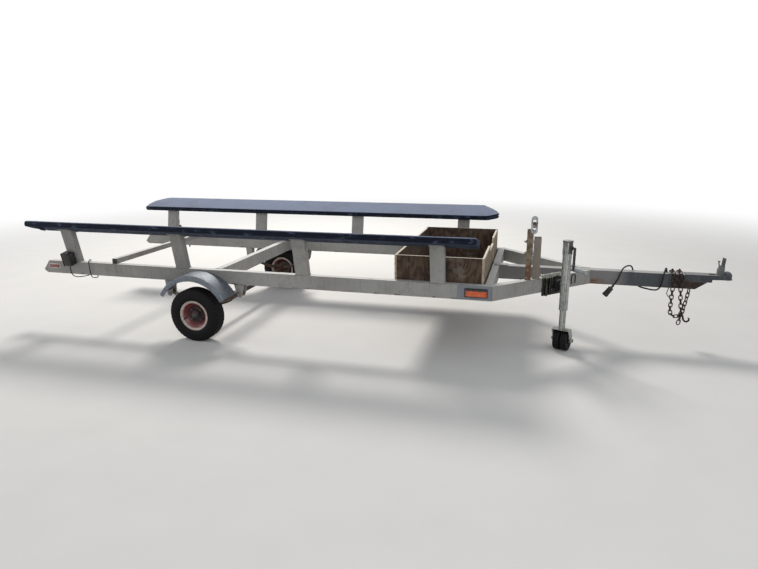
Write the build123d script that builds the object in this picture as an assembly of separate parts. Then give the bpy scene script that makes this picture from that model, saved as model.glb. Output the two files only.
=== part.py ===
from build123d import *
import math
import os

# A bunk boat trailer, standing level on its tyres and its jack.
# Millimetres. X runs forward to the coupler, Y to the trailer's left, Z up from the ground.
# The origin is on the ground at the middle of the length and of the width.

# Overall sizes
LENGTH = 5280.0
FRAME_WIDTH = 1370.0
REAR_TO_AXLE = 1483.0
REAR_TO_KINK = 3666.0
V_ANGLE = 44.0

# Frame tubes
RAIL_W = 51.0
RAIL_H = 102.0
TUBE_WALL = 4.0
CORNER_R = 6.0
RAIL_END_RAKE = 61.0
RAIL_END_BEVEL = (32.0, 24.0)
TONGUE_W = 76.0
TONGUE_END_SETBACK = 157.0
TONGUE_END_TAPER = (80.0, 58.0)
MAIN_CROSS_AHEAD_OF_AXLE = 115.0
FRONT_CROSS_PAST_KINK = 3.0
CROSSBAR_BEHIND_AXLE = 793.0
CROSSBAR_SIZE = 40.0
CROSSBAR_WALL = 3.0
CROSSBAR_SETBACK = 20.0
PLUG_FLANGE = 5.0
SPLICE_PLATE = (100.0, 70.0, 6.0)

# Wheels, tyres and hubs
TYRE_D = 409.0
TYRE_W = 120.0
TYRE_WALL = 11.0
TREAD_W = 92.0
TYRE_GAP = 45.0
RIM_FLANGE_D = 231.0
RIM_SEAT_D = 201.0
RIM_WELL_D = 168.0
RIM_W = 95.0
RIM_FLANGE_W = 104.0
RIM_T = 3.0
DISC_OUT = 12.0
DISC_HOLE_D = 62.0
HUB_D = 58.0
HUB_FLANGE_D = 132.0
HUB_FLANGE_T = 9.0
HUB_FACE = 2.0
HUB_INNER = -38.0
DUST_CAP_D = 46.0
DUST_CAP_END = 52.0
STUD_COUNT = 4
STUD_CIRCLE_D = 101.6
STUD_D = 12.0
STUD_END = 22.0
NUT_ACROSS = 19.0
NUT_T = 11.0
SPINDLE_D = 25.4
RUNNING_GAP = 0.05

# Axle and springs
AXLE_TUBE = 38.0
AXLE_TO_HUB_GAP = 5.0
SPRING_SPAN = 620.0
SPRING_W = 45.0
LEAF_T = 6.5
LEAF_SPANS = (SPRING_SPAN, 430.0, 240.0)
SPRING_SEAT_T = 6.0
SPRING_SEAT_L = 64.0
SPRING_ARCH = 120.5
EYE_D = 32.0
EYE_BOLT_D = 14.0
HANGER_H = 75.0
HANGER_T = 5.0
HANGER_GAP = 1.0
HANGER_HALF = (40.0, 32.0)
HANGER_DROP = 24.0
HANGER_BOLT_OUT = 15.0
SLIPPER_IN = 12.0
U_BOLT_D = 10.0
U_BOLT_GAP = 1.5
U_BOLT_BEND = 9.0
NUT_RATIO = 1.6
NUT_DEPTH = 0.8
TIE_PLATE = (84.0, 84.0, 9.0)

# Fenders
FENDER_R = 310.0
FENDER_T = 2.0
FENDER_OVERHANG = 10.0
FENDER_LIP = 40.0
FENDER_SHOULDER_R = 18.0
FENDER_START = 28.0
FENDER_ARC = 122.0
FENDER_STAY_ANGLES = (62.0, 118.0)
FENDER_STAY = (30.0, 5.0)

# Posts and bunks
POST_COUNT = 4
POST_FIRST = 317.0
POST_PITCH = 994.0
POST_W = 102.0
POST_D = 51.0
POST_LEAN = 11.0
POST_PLATE = (102.0, 120.0, 5.0)
BUNK_SETBACK_RIGHT = 10.0
BUNK_SETBACK_LEFT = 50.0
BUNK_LENGTH = 3560.0
BUNK_W = 234.0
BUNK_T = 45.0
BUNK_TILT = 18.0
BUNK_OVERHANG = 166.0
BUNK_RISE = 355.0
BUNK_REAR_POINT = 45.0
BUNK_FRONT_POINT = 10.0
SOFT_GAP = 0.3

# Plywood box
BOX_REAR_TO_KINK = 682.0
BOX_LENGTH = 622.0
BOX_WIDTH = 1250.0
BOX_TOP_ABOVE_DECK = 173.0
PLY_T = 15.0
NOTCH_W = 320.0
NOTCH_D = 42.0
NOTCH_SIDE = 20.0
ANGLE_LEG = 40.0
ANGLE_T = 4.0

# Bow stop and the open upright beside it
STOP_ALONG_V = 335.0
STOP_TUBE = 38.0
STOP_H = 352.0
UPRIGHT_ALONG_V = 409.0
UPRIGHT_TUBE = 50.0
UPRIGHT_H = 292.0
UPRIGHT_WALL = 3.0
CHEEK_W = 44.0
CHEEK_H = 112.0
CHEEK_T = 5.0
ROLLER_D = 34.0
ROLLER_L = 62.0
ROLLER_PIN_D = 12.0
ROLLER_LIFT = 31.0
CHEEK_STEM = (26.0, 205.0, 6.0)

# Coupler
BALL_D = 50.8
BALL_GAP = 0.8
BALL_DROP = 2.0
COUPLER_T = 4.0
COUPLER_CHANNEL = 170.0
COUPLER_SIDE = 45.0
COUPLER_SKIRT_Z = -25.0
COUPLER_SHELL = 6.8
COUPLER_LIP = 4.0
LATCH_SETBACK = 75.0
LATCH_BASE = (46.0, 34.0, 22.0)
LATCH_PRONG = (9.0, 7.0, 118.0)
LATCH_LEAN = 12.0

# Swivel jack
JACK_ALONG_V = 567.0
JACK_STANDOFF = 100.0
CLAMP_T = 8.0
CLAMP_REACH = (120.0, 54.0)
CLAMP_H = 156.0
CLAMP_RIBS = (-100.0, -66.0, -48.0)
CLAMP_RIB = (7.0, 18.0)
CLAMP_U_BOLTS = (-83.0, 26.0)
CLAMP_BOLT_D = 11.0
CLAMP_BOLT_OUT = 18.0
PIVOT_D = 54.0
PIVOT_L = 42.0
PIVOT_CAP = (66.0, 4.0)
SOCKET_D = 78.0
SOCKET_GAP = 2.0
SOCKET_L = 50.0
PIN_REACH = 60.0
PIN_ANGLE = 44.0
PIN_TIP_D = 8.0
PIN_BODY_D = 17.0
PIN_STEPS = (1.0, 24.0, 52.0, 70.0)
PULL_RING = (58.0, 24.0, 4.0)
JACK_OUTER_D = 60.0
JACK_OUTER_T = 3.5
JACK_OUTER_BOTTOM = 305.0
JACK_TOP = 800.0
JACK_HEAD_WALL = 3.5
JACK_HEAD_H = 96.0
JACK_CAP_T = 8.0
RAM_GAP = 0.1
JACK_INNER_D = 45.0
JACK_INNER_T = 3.0
JACK_BUSH_H = 42.0
JACK_COLLAR_H = 24.0
JACK_INNER_TOP = 622.0
JACK_WHEEL_D = 152.0
JACK_WHEEL_W = 48.0
JACK_WHEEL_SPLIT = 6.0
JACK_AXLE_D = 16.0
FORK_T = 6.0
FORK_TOP_T = 6.0
FORK_TOP_Z = 164.0
FORK_SIDE_GAP = 5.5
FORK_TRAIL = 30.0
CASTER_TURN = -20.0
STEM_D = 20.0
WASHER_D = 40.0
WASHER_T = 5.0
PLUG_H = 16.0
CRANK_Z = 752.0
CRANK_SHAFT = (14.0, 26.0)
CRANK_ARM = (18.0, 8.0, 145.0)
CRANK_GRIP = (24.0, 110.0)

# Safety chains
CHAIN_WIRE = 7.5
CHAIN_LINK_L = 47.0
CHAIN_LINK_W = 30.0
CHAIN_SLACK = 0.9

# Lights and wiring
TAIL_LIGHT = (84.0, 70.0, 112.0)
TAIL_LIGHT_Z = 505.0
TAIL_LIGHT_AHEAD = 36.0
TAIL_PLATE = (62.0, 138.0, 4.0)
TAIL_PLATE_RISE = 78.0
TAIL_PLATE_AHEAD = 20.0
MARKER = (148.0, 14.0, 56.0)
MARKER_BEHIND_KINK = 104.0
LEAD_D = 11.0
TAIL_WIRE_D = 7.0
TWINE_D = 4.0
PLUG_D = 44.0
PLUG_L = 96.0
PLUG_NECK = (17.0, 22.0)

# Places that follow from the sizes above
REAR_X = -LENGTH / 2
NOSE_X = LENGTH / 2
AXLE_X = REAR_X + REAR_TO_AXLE
KINK_X = REAR_X + REAR_TO_KINK
AXLE_Z = TYRE_D / 2
SEAT_Z = AXLE_Z + AXLE_TUBE / 2 + SPRING_SEAT_T
EYE_Z = SEAT_Z + SPRING_ARCH
RAIL_BOTTOM = EYE_Z + HANGER_H
DECK_Z = RAIL_BOTTOM + RAIL_H
RAIL_OUT = FRAME_WIDTH / 2
RAIL_IN = RAIL_OUT - RAIL_W
RAIL_MID = RAIL_OUT - RAIL_W / 2
TYRE_Y = RAIL_OUT + TYRE_GAP + TYRE_W / 2
V_RAD = math.radians(V_ANGLE)
CROSS_FRONT = KINK_X + FRONT_CROSS_PAST_KINK
SIDES = (("right", 1), ("left", -1))
COUPLER_DOME_R = BALL_D / 2 + BALL_GAP + COUPLER_SHELL
COUPLER_LIP_R = COUPLER_DOME_R + COUPLER_LIP
JACK_HEAD_D = JACK_OUTER_D + 2 * JACK_HEAD_WALL

# Along the right V rail: t points forward and in, n points out from its face
V_T = Vector(math.cos(V_RAD), math.sin(V_RAD), 0)
V_N = Vector(math.sin(V_RAD), -math.cos(V_RAD), 0)


def v_point(along, out, z):
    """A point by the right V rail: along its outer face from the kink, out from it, and up."""
    return Vector(KINK_X, -RAIL_OUT, z) + V_T * along + V_N * out


def block(x, y, z):
    """A box between a low and a high value along each axis."""
    size = [high - low for low, high in (x, y, z)]
    centre = [(high + low) / 2 for low, high in (x, y, z)]
    return Pos(*centre) * Box(*size)


def prism(plane, points, depth):
    """A straight prism: an outline in a plane, given depth along the plane's normal."""
    return extrude(plane * Polygon(*points, align=None), depth, dir=plane.z_dir)


def rod(start, end, diameter):
    """A round bar between two points."""
    start = Vector(*start)
    run = Vector(*end) - start
    return extrude(Plane(origin=start, z_dir=run) * Circle(diameter / 2), run.length, dir=run.normalized())


def bent_rod(points, diameter, bend):
    """A round bar through some points, with one radius at its bends."""
    path = FilletPolyline(*points, radius=[bend] * (len(points) - 2))
    return sweep(Plane(origin=path @ 0, z_dir=path % 0) * Circle(diameter / 2), path=path)


def hex_nut(seat, way, bolt_d):
    """A six-sided nut standing on a point."""
    way = Vector(*way)
    plane = Plane(origin=Vector(*seat), z_dir=way)
    outline = RegularPolygon(bolt_d * NUT_RATIO / 2, 6, major_radius=False)
    return extrude(plane * outline, bolt_d * NUT_DEPTH, dir=way)


def spun(profile, y, x=AXLE_X, z=AXLE_Z):
    """A ring about a line along Y: profile points are (radius, outward distance) on the right side."""
    points = [(radius, -outward) for radius, outward in profile]
    return Pos(x, -y, z) * revolve(Polygon(*points, align=None), Axis.Y)


def for_side(shape, hand):
    """The right-hand shape itself, or its mirror image on the left."""
    return shape if hand == 1 else mirror(shape, about=Plane.XZ)


def save(name, *shapes):
    """Write one sub-part; solids that share it stay separate."""
    solids = [solid for shape in shapes for solid in shape.solids()]
    whole = solids[0] if len(solids) == 1 else Compound(solids)
    export_step(whole, f"parts/{name}.step")


# Frame


def side_rail():
    """The right rail: raked at its rear end, mitred in plan at the kink."""
    mitre = RAIL_W * math.tan(V_RAD / 2)
    plan = [(REAR_X, -RAIL_OUT), (KINK_X, -RAIL_OUT), (KINK_X - mitre, -RAIL_IN), (REAR_X, -RAIL_IN)]
    rail = prism(Plane.XY.offset(RAIL_BOTTOM), plan, RAIL_H)
    inside = block(
        (REAR_X - RAIL_W, KINK_X + RAIL_W),
        (-RAIL_OUT + TUBE_WALL, -RAIL_IN - TUBE_WALL),
        (RAIL_BOTTOM + TUBE_WALL, DECK_Z - TUBE_WALL),
    )
    bevel_x, bevel_z = RAIL_END_BEVEL
    cut_plane = Plane(origin=(0, 0, 0), x_dir=(1, 0, 0), z_dir=(0, -1, 0))
    side = [
        (REAR_X, RAIL_BOTTOM + bevel_z),
        (REAR_X + RAIL_END_RAKE, DECK_Z),
        (KINK_X + RAIL_W, DECK_Z),
        (KINK_X + RAIL_W, RAIL_BOTTOM),
        (REAR_X + bevel_x, RAIL_BOTTOM),
    ]
    return (rail - inside) & prism(cut_plane, side, FRAME_WIDTH)


def v_rail_outline():
    """The right V rail's plan, from the mitre at the kink to the tongue's side."""
    mitre = RAIL_W * math.tan(V_RAD / 2)
    stop_y = -TONGUE_W / 2
    outer = KINK_X + (RAIL_OUT + stop_y) / math.tan(V_RAD)
    inner = KINK_X - mitre + (RAIL_IN + stop_y) / math.tan(V_RAD)
    return [(KINK_X, -RAIL_OUT), (outer, stop_y), (inner, stop_y), (KINK_X - mitre, -RAIL_IN)]


def v_rail():
    """The right V rail, a tube mitred to the side rail and cut flush with the tongue."""
    tube = prism(Plane.XY.offset(RAIL_BOTTOM), v_rail_outline(), RAIL_H)
    inside_plane = Plane(origin=v_point(0, 0, RAIL_BOTTOM + TUBE_WALL), x_dir=V_T, z_dir=(0, 0, 1))
    reach = FRAME_WIDTH
    far = RAIL_W - TUBE_WALL
    strip = [(-reach, TUBE_WALL), (reach, TUBE_WALL), (reach, far), (-reach, far)]
    return tube - prism(inside_plane, strip, RAIL_H - 2 * TUBE_WALL)


def main_crossmember():
    centre = AXLE_X + MAIN_CROSS_AHEAD_OF_AXLE
    outer = block((centre - RAIL_W / 2, centre + RAIL_W / 2), (-RAIL_IN, RAIL_IN), (RAIL_BOTTOM, DECK_Z))
    half = RAIL_W / 2 - TUBE_WALL
    return outer - block(
        (centre - half, centre + half), (-RAIL_OUT, RAIL_OUT), (RAIL_BOTTOM + TUBE_WALL, DECK_Z - TUBE_WALL)
    )


def front_crossmember():
    """Fitted between the rails, with its front corners cut to the V rails."""
    outer = block((CROSS_FRONT - RAIL_W, CROSS_FRONT), (-RAIL_IN, RAIL_IN), (RAIL_BOTTOM, DECK_Z))
    v_solid = prism(Plane.XY.offset(RAIL_BOTTOM), v_rail_outline(), RAIL_H)
    inside = block(
        (CROSS_FRONT - RAIL_W + TUBE_WALL, CROSS_FRONT - TUBE_WALL),
        (-RAIL_OUT, RAIL_OUT),
        (RAIL_BOTTOM + TUBE_WALL, DECK_Z - TUBE_WALL),
    )
    return outer - v_solid - mirror(v_solid, about=Plane.XZ) - inside


def rear_crossbar():
    """A slender square tube lying across both rails."""
    x = AXLE_X - CROSSBAR_BEHIND_AXLE
    half = CROSSBAR_SIZE / 2
    y = RAIL_OUT - CROSSBAR_SETBACK
    tube = block((x - half, x + half), (-y, y), (DECK_Z, DECK_Z + CROSSBAR_SIZE))
    bore = half - CROSSBAR_WALL
    return tube - block(
        (x - bore, x + bore), (-y, y), (DECK_Z + CROSSBAR_WALL, DECK_Z + CROSSBAR_SIZE - CROSSBAR_WALL)
    )


def crossbar_plugs():
    """Plastic end plugs of the rear crossbar."""
    x = AXLE_X - CROSSBAR_BEHIND_AXLE
    y = RAIL_OUT - CROSSBAR_SETBACK
    half = CROSSBAR_SIZE / 2
    bore = half - CROSSBAR_WALL
    mid = DECK_Z + half
    plug = block((x - half, x + half), (-y - PLUG_FLANGE, -y), (DECK_Z, DECK_Z + CROSSBAR_SIZE))
    plug += block((x - bore, x + bore), (-y, -y + CROSSBAR_SIZE / 2), (mid - bore, mid + bore))
    return plug, mirror(plug, about=Plane.XZ)


def tongue():
    """The centre beam, from the front crossmember to the tapered end under the coupler."""
    end = NOSE_X - TONGUE_END_SETBACK
    taper_x, taper_z = TONGUE_END_TAPER
    side = [
        (CROSS_FRONT, RAIL_BOTTOM),
        (end - taper_x, RAIL_BOTTOM),
        (end, RAIL_BOTTOM + taper_z),
        (end, DECK_Z),
        (CROSS_FRONT, DECK_Z),
    ]
    plane = Plane(origin=(0, TONGUE_W / 2, 0), x_dir=(1, 0, 0), z_dir=(0, -1, 0))
    beam = prism(plane, side, TONGUE_W)
    half = TONGUE_W / 2 - TUBE_WALL
    beam -= block((CROSS_FRONT - 1, end + 1), (-half, half), (RAIL_BOTTOM + TUBE_WALL, DECK_Z - TUBE_WALL))
    length, width, thick = SPLICE_PLATE
    rear = CROSS_FRONT - RAIL_W * 0.7
    return beam + block((rear, rear + length), (-width / 2, width / 2), (DECK_Z, DECK_Z + thick))


# Running gear


def tyre():
    """The tyre as a carcass open towards the rim."""
    r = TYRE_D / 2
    seat = RIM_SEAT_D / 2 + 0.4
    flange = RIM_FLANGE_D / 2 + 1.5
    bead = RIM_W / 2 - 4.5
    half = TYRE_W / 2
    tread = TREAD_W / 2
    outer = [
        (seat, bead),
        (flange, bead),
        (flange + 2, half - 9),
        (flange + 18, half - 1.5),
        (flange + 34, half),
        (r - 34, half - 2),
        (r - 15, half - 7),
        (r - 4, tread),
        (r - 1, tread * 0.6),
        (r, 0),
    ]
    inner = [
        (r - TYRE_WALL, 0),
        (r - TYRE_WALL - 4, tread * 0.75),
        (flange + 34, half - TYRE_WALL),
        (seat + 12, bead - TYRE_WALL),
        (seat, bead - TYRE_WALL),
    ]
    right_half = outer + inner
    left_half = [(radius, -out) for radius, out in reversed(right_half)]
    return spun(right_half, TYRE_Y) + spun(left_half, TYRE_Y)


def rim():
    """The pressed wheel: a drop-centre barrel and a dished disc with four bolt holes."""
    flange = RIM_FLANGE_D / 2
    seat = RIM_SEAT_D / 2
    well = RIM_WELL_D / 2
    half = RIM_W / 2
    edge = RIM_FLANGE_W / 2
    t = RIM_T
    outer = [(flange, edge), (flange, edge - t), (seat + 3, half - 1), (seat, half - 4)]
    outer += [(seat, half - 15), (well, 20)]
    outer += [(radius, -out) for radius, out in reversed(outer)]
    inner = [(flange - t, edge), (seat - t, half), (seat - t, half - 16), (well - t, 18)]
    inner += [(radius, -out) for radius, out in reversed(inner)]
    barrel = spun(outer + inner[::-1], TYRE_Y)
    hole = DISC_HOLE_D / 2
    face = HUB_FACE
    dish = [(well - 1, DISC_OUT), (76, DISC_OUT - 1), (68, face + 2), (64, face), (hole, face)]
    back = [(hole, face + t + 0.5), (63, face + t + 0.5), (67, face + t + 2)]
    back += [(75, DISC_OUT + t - 0.5), (well - 1, DISC_OUT + t + 1)]
    disc = spun(dish + back, TYRE_Y)
    whole = barrel + disc
    for x, z in stud_places():
        whole -= rod((x, -TYRE_Y + STUD_END, z), (x, -TYRE_Y - STUD_END, z), STUD_D + 1)
    return whole


def stud_places():
    """Wheel stud centres in the wheel's plane."""
    for i in range(STUD_COUNT):
        angle = math.radians(45 + i * 360 / STUD_COUNT)
        yield AXLE_X + STUD_CIRCLE_D / 2 * math.cos(angle), AXLE_Z + STUD_CIRCLE_D / 2 * math.sin(angle)


def hub():
    """Hub with its flange, dust cap, studs and nuts, bored for the spindle."""
    bore = SPINDLE_D / 2 + RUNNING_GAP
    barrel = HUB_D / 2
    cap = DUST_CAP_D / 2
    flange = HUB_FLANGE_D / 2
    shape = [
        (bore, HUB_INNER),
        (barrel, HUB_INNER),
        (barrel, HUB_FACE - HUB_FLANGE_T),
        (flange, HUB_FACE - HUB_FLANGE_T),
        (flange, HUB_FACE),
        (barrel, HUB_FACE),
        (barrel, DUST_CAP_END - 22),
        (cap, DUST_CAP_END - 20),
        (cap, DUST_CAP_END - 8),
        (cap - 5, DUST_CAP_END - 2),
        (cap - 12, DUST_CAP_END),
        (0, DUST_CAP_END),
        (0, DUST_CAP_END - 20),
        (bore, DUST_CAP_END - 20),
    ]
    whole = spun(shape, TYRE_Y)
    seat = HUB_FACE + RIM_T + 0.5
    for x, z in stud_places():
        whole += rod((x, -TYRE_Y - HUB_FACE + 1, z), (x, -TYRE_Y - STUD_END, z), STUD_D)
        nut_plane = Plane(origin=(x, -TYRE_Y - seat, z), x_dir=(1, 0, 0), z_dir=(0, -1, 0))
        nut = nut_plane * RegularPolygon(NUT_ACROSS / 2, 6, major_radius=False)
        whole += extrude(nut, NUT_T, dir=(0, -1, 0))
    return whole


def axle_beam():
    """A square tube with a spindle at each end and a seat under each spring."""
    half = AXLE_TUBE / 2
    end = TYRE_Y + HUB_INNER - AXLE_TO_HUB_GAP
    beam = block((AXLE_X - half, AXLE_X + half), (-end, end), (AXLE_Z - half, AXLE_Z + half))
    tip = TYRE_Y + DUST_CAP_END - 20 - 3
    beam += rod((AXLE_X, -tip, AXLE_Z), (AXLE_X, tip, AXLE_Z), SPINDLE_D)
    for hand in (-1, 1):
        seat = Box(SPRING_SEAT_L, SPRING_W, SPRING_SEAT_T)
        beam += Pos(AXLE_X, hand * RAIL_MID, SEAT_Z - SPRING_SEAT_T / 2) * seat
    return beam


def leaf_arc():
    """Radius and centre height of the main leaf's upper face."""
    thick = LEAF_T * len(LEAF_SPANS)
    rise = EYE_Z - SEAT_Z - thick
    half_span = SPRING_SPAN / 2
    inner_r = (half_span**2 + rise**2) / (2 * rise)
    return inner_r, SEAT_Z + thick + inner_r


def leaf_spring():
    """A slipper spring: leaves on arcs of one centre, with an eye at the front."""
    thick = LEAF_T * len(LEAF_SPANS)
    half_span = SPRING_SPAN / 2
    inner_r, centre_z = leaf_arc()
    pack = None
    for i, span in enumerate(LEAF_SPANS):
        top_r = inner_r + LEAF_T * i
        ring = Pos(AXLE_X, centre_z) * (Circle(top_r + LEAF_T) - Circle(top_r))
        leaf = ring & (Pos(AXLE_X, SEAT_Z + inner_r / 2) * Rectangle(span, inner_r + 2 * thick))
        pack = leaf if pack is None else pack + leaf
    eye = Pos(AXLE_X + half_span, EYE_Z) * Circle(EYE_D / 2)
    hole = Pos(AXLE_X + half_span, EYE_Z) * Circle(EYE_BOLT_D / 2 + 0.3)
    outline = pack + eye - hole
    plane = Plane(origin=(0, -RAIL_MID + SPRING_W / 2, 0), x_dir=(1, 0, 0), z_dir=(0, -1, 0))
    return extrude(plane * outline, SPRING_W, dir=(0, -1, 0))


def hanger(x, half_length, pin_z):
    """A U-shaped spring hanger under the right rail, with its cross bolt and nuts."""
    inside = SPRING_W / 2 + HANGER_GAP
    outside = inside + HANGER_T
    plane = Plane(origin=(0, -RAIL_MID + outside, 0), x_dir=(1, 0, 0), z_dir=(0, -1, 0))
    low = pin_z - HANGER_DROP
    side = [
        (x - half_length, RAIL_BOTTOM),
        (x + half_length, RAIL_BOTTOM),
        (x + HANGER_DROP, pin_z),
        (x + HANGER_DROP / 2, low),
        (x - HANGER_DROP / 2, low),
        (x - HANGER_DROP, pin_z),
    ]
    body = prism(plane, side, 2 * outside)
    slot = (-RAIL_MID - inside, -RAIL_MID + inside)
    body -= block((x - 2 * half_length, x + 2 * half_length), slot, (0, RAIL_BOTTOM - HANGER_T))
    head = outside + HANGER_BOLT_OUT
    body += rod((x, -RAIL_MID - head, pin_z), (x, -RAIL_MID + head, pin_z), EYE_BOLT_D)
    for hand in (-1, 1):
        body += hex_nut((x, -RAIL_MID + hand * outside, pin_z), (0, hand, 0), EYE_BOLT_D)
    return body


def spring_hangers():
    """Front hanger on the eye, rear hanger whose pin keeps the slipper end."""
    half_span = SPRING_SPAN / 2
    front_half, rear_half = HANGER_HALF
    front = hanger(AXLE_X + half_span, front_half, EYE_Z)
    slip = half_span - SLIPPER_IN
    inner_r, centre_z = leaf_arc()
    reach = inner_r + LEAF_T + EYE_BOLT_D / 2 + SOFT_GAP
    pin_z = centre_z - math.sqrt(reach**2 - slip**2)
    return front, hanger(AXLE_X - slip, rear_half, pin_z)


def axle_u_bolts():
    """Two U-bolts round the axle and a tie plate on top of the spring, on the right side."""
    spring_top = SEAT_Z + LEAF_T * len(LEAF_SPANS)
    plate_z = spring_top + 2
    length, width, height = TIE_PLATE
    y = -RAIL_MID
    whole = Pos(AXLE_X, y, plate_z + height / 2) * Box(length, width, height)
    leg = AXLE_TUBE / 2 + U_BOLT_D / 2 + U_BOLT_GAP
    bottom = AXLE_Z - leg
    nut_z = plate_z + height
    end_z = nut_z + U_BOLT_D * 1.3
    pad = Pos(AXLE_X, y, (spring_top + plate_z) / 2) * Box(SPRING_W, SPRING_W, plate_z - spring_top)
    whole += pad - leaf_spring()
    for side in (-1, 1):
        bolt_y = y + side * (SPRING_W / 2 + U_BOLT_D / 2 + U_BOLT_GAP)
        corners = [(-leg, end_z), (-leg, bottom), (leg, bottom), (leg, end_z)]
        whole += bent_rod([(AXLE_X + x, bolt_y, z) for x, z in corners], U_BOLT_D, U_BOLT_BEND)
        for x in (AXLE_X - leg, AXLE_X + leg):
            whole += hex_nut((x, bolt_y, nut_z), (0, 0, 1), U_BOLT_D)
    return whole


def fender():
    """Half-round galvanised fender: a skin with a rounded shoulder and a side lip, on two stays."""
    outer_y = TYRE_Y + TYRE_W / 2 + FENDER_OVERHANG
    section = make_face(fender_section(RAIL_OUT, outer_y))
    whole = Rot(0, -FENDER_START, 0) * revolve(section, Axis((0, 0, 0), (0, -1, 0)), FENDER_ARC)
    stay_w, stay_t = FENDER_STAY
    under_skin = FENDER_R - FENDER_T
    for angle in FENDER_STAY_ANGLES:
        across = (-outer_y + FENDER_T, -RAIL_OUT)
        bar = block((under_skin - stay_t, under_skin), across, (-stay_w / 2, stay_w / 2))
        whole += Rot(0, -angle, 0) * bar
    return Pos(AXLE_X, 0, AXLE_Z) * whole


def fender_section(inner_y, outer_y):
    """The closed outline of the fender's section: outer line, then back along the inner one."""
    t = FENDER_T
    r = FENDER_R
    shoulder = FENDER_SHOULDER_R
    lip_r = r - FENDER_LIP
    outer = [
        Line((r, -inner_y), (r, -outer_y + shoulder)),
        CenterArc((r - shoulder, -outer_y + shoulder), shoulder, 0, -90),
        Line((r - shoulder, -outer_y), (lip_r, -outer_y)),
        Line((lip_r, -outer_y), (lip_r, -outer_y + t)),
    ]
    inner = [
        Line((lip_r, -outer_y + t), (r - shoulder, -outer_y + t)),
        CenterArc((r - shoulder, -outer_y + shoulder), shoulder - t, -90, 90),
        Line((r - t, -outer_y + shoulder), (r - t, -inner_y)),
        Line((r - t, -inner_y), (r, -inner_y)),
    ]
    return outer + inner


# Bunks


def bunk_corner(across, down):
    """(y, z) on the right bunk: across from its outer top edge, and down through its thickness."""
    tilt = math.radians(BUNK_TILT)
    y = -RAIL_OUT - BUNK_OVERHANG + across * math.cos(tilt) - down * math.sin(tilt)
    z = DECK_Z + BUNK_RISE - across * math.sin(tilt) - down * math.cos(tilt)
    return y, z


def under_bunk(gap):
    """A plane below the right bunk's underside, with its normal up into the bunk."""
    y, z = bunk_corner(BUNK_W / 2, BUNK_T + gap)
    tilt = math.radians(BUNK_TILT)
    return Plane(origin=(0, y, z), x_dir=(1, 0, 0), z_dir=(0, math.sin(tilt), math.cos(tilt)))


def bunk_post(x):
    """A leaning post on the right rail, with its top plate parallel to the bunk."""
    lean = math.radians(POST_LEAN)
    axis = Vector(0, -math.sin(lean), math.cos(lean))
    foot = Vector(x, -RAIL_OUT + POST_D / 2 / math.cos(lean), DECK_Z)
    plane = Plane(origin=foot - axis * 100, x_dir=(1, 0, 0), z_dir=axis)
    section = RectangleRounded(POST_W, POST_D, CORNER_R)
    section -= RectangleRounded(POST_W - 2 * TUBE_WALL, POST_D - 2 * TUBE_WALL, CORNER_R - TUBE_WALL)
    post = extrude(plane * section, BUNK_RISE + 200, dir=axis)
    length, width, thick = POST_PLATE
    post = split(post, Plane.XY.offset(DECK_Z), keep=Keep.TOP)
    cut = under_bunk(SOFT_GAP + thick)
    post = split(post, cut, keep=Keep.BOTTOM)
    top_y = foot.Y - (cut.origin.Z - DECK_Z) * math.tan(lean)
    local = cut.to_local_coords(Vector(x, top_y, cut.origin.Z))
    plate = Pos(local.X, local.Y) * RectangleRounded(length, width, CORNER_R)
    return post + extrude(cut * plate, thick, dir=cut.z_dir)


def bunk(setback):
    """A carpeted board: plain here, pointed at its rear end and almost square at the front."""
    top_y, top_z = bunk_corner(0, 0)
    tilt = math.radians(BUNK_TILT)
    into = (0, -math.sin(tilt), -math.cos(tilt))
    plane = Plane(origin=(REAR_X + setback, top_y, top_z), x_dir=(1, 0, 0), z_dir=into)
    mid = BUNK_W / 2
    outline = [
        (BUNK_REAR_POINT, 0),
        (BUNK_LENGTH - BUNK_FRONT_POINT, 0),
        (BUNK_LENGTH, -mid),
        (BUNK_LENGTH - BUNK_FRONT_POINT, -BUNK_W),
        (BUNK_REAR_POINT, -BUNK_W),
        (0, -mid),
    ]
    return prism(plane, outline, BUNK_T)


# Plywood box


def box_frame():
    """The box's place: rear and front X, half width, floor underside and top Z."""
    rear = KINK_X - BOX_REAR_TO_KINK
    return rear, rear + BOX_LENGTH, BOX_WIDTH / 2, RAIL_BOTTOM + ANGLE_T, DECK_Z + BOX_TOP_ABOVE_DECK


def box_panels():
    """Side panels between the end panels, on a floor that all four stand round."""
    rear, front, half, low, top = box_frame()
    side = block((rear + PLY_T, front - PLY_T), (-half, -half + PLY_T), (low, top))
    end = block((rear, rear + PLY_T), (-half, half), (low, top))
    front_end = block((front - PLY_T, front), (-half, half), (low, top))
    notch = [
        (NOTCH_SIDE - NOTCH_W / 2, top - NOTCH_D),
        (NOTCH_SIDE + NOTCH_W / 2, top - NOTCH_D),
        (NOTCH_SIDE + NOTCH_W / 2 + 12, top + 1),
        (NOTCH_SIDE - NOTCH_W / 2 - 12, top + 1),
    ]
    notch_plane = Plane(origin=(front - PLY_T - 1, 0, 0), x_dir=(0, 1, 0), z_dir=(1, 0, 0))
    front_end -= prism(notch_plane, notch, PLY_T + 2)
    floor = block((rear + PLY_T, front - PLY_T), (-half + PLY_T, half - PLY_T), (low, low + PLY_T))
    return side, end, front_end, floor


def box_support(x, way):
    """An angle between the rails: its upright leg outside the box, its flat leg under it."""
    across = (-RAIL_IN, RAIL_IN)
    upright = block(sorted((x, x + way * ANGLE_T)), across, (RAIL_BOTTOM, RAIL_BOTTOM + ANGLE_LEG))
    flat = block(sorted((x, x - way * ANGLE_LEG)), across, (RAIL_BOTTOM, RAIL_BOTTOM + ANGLE_T))
    return upright + flat


# Bow stop


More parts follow.
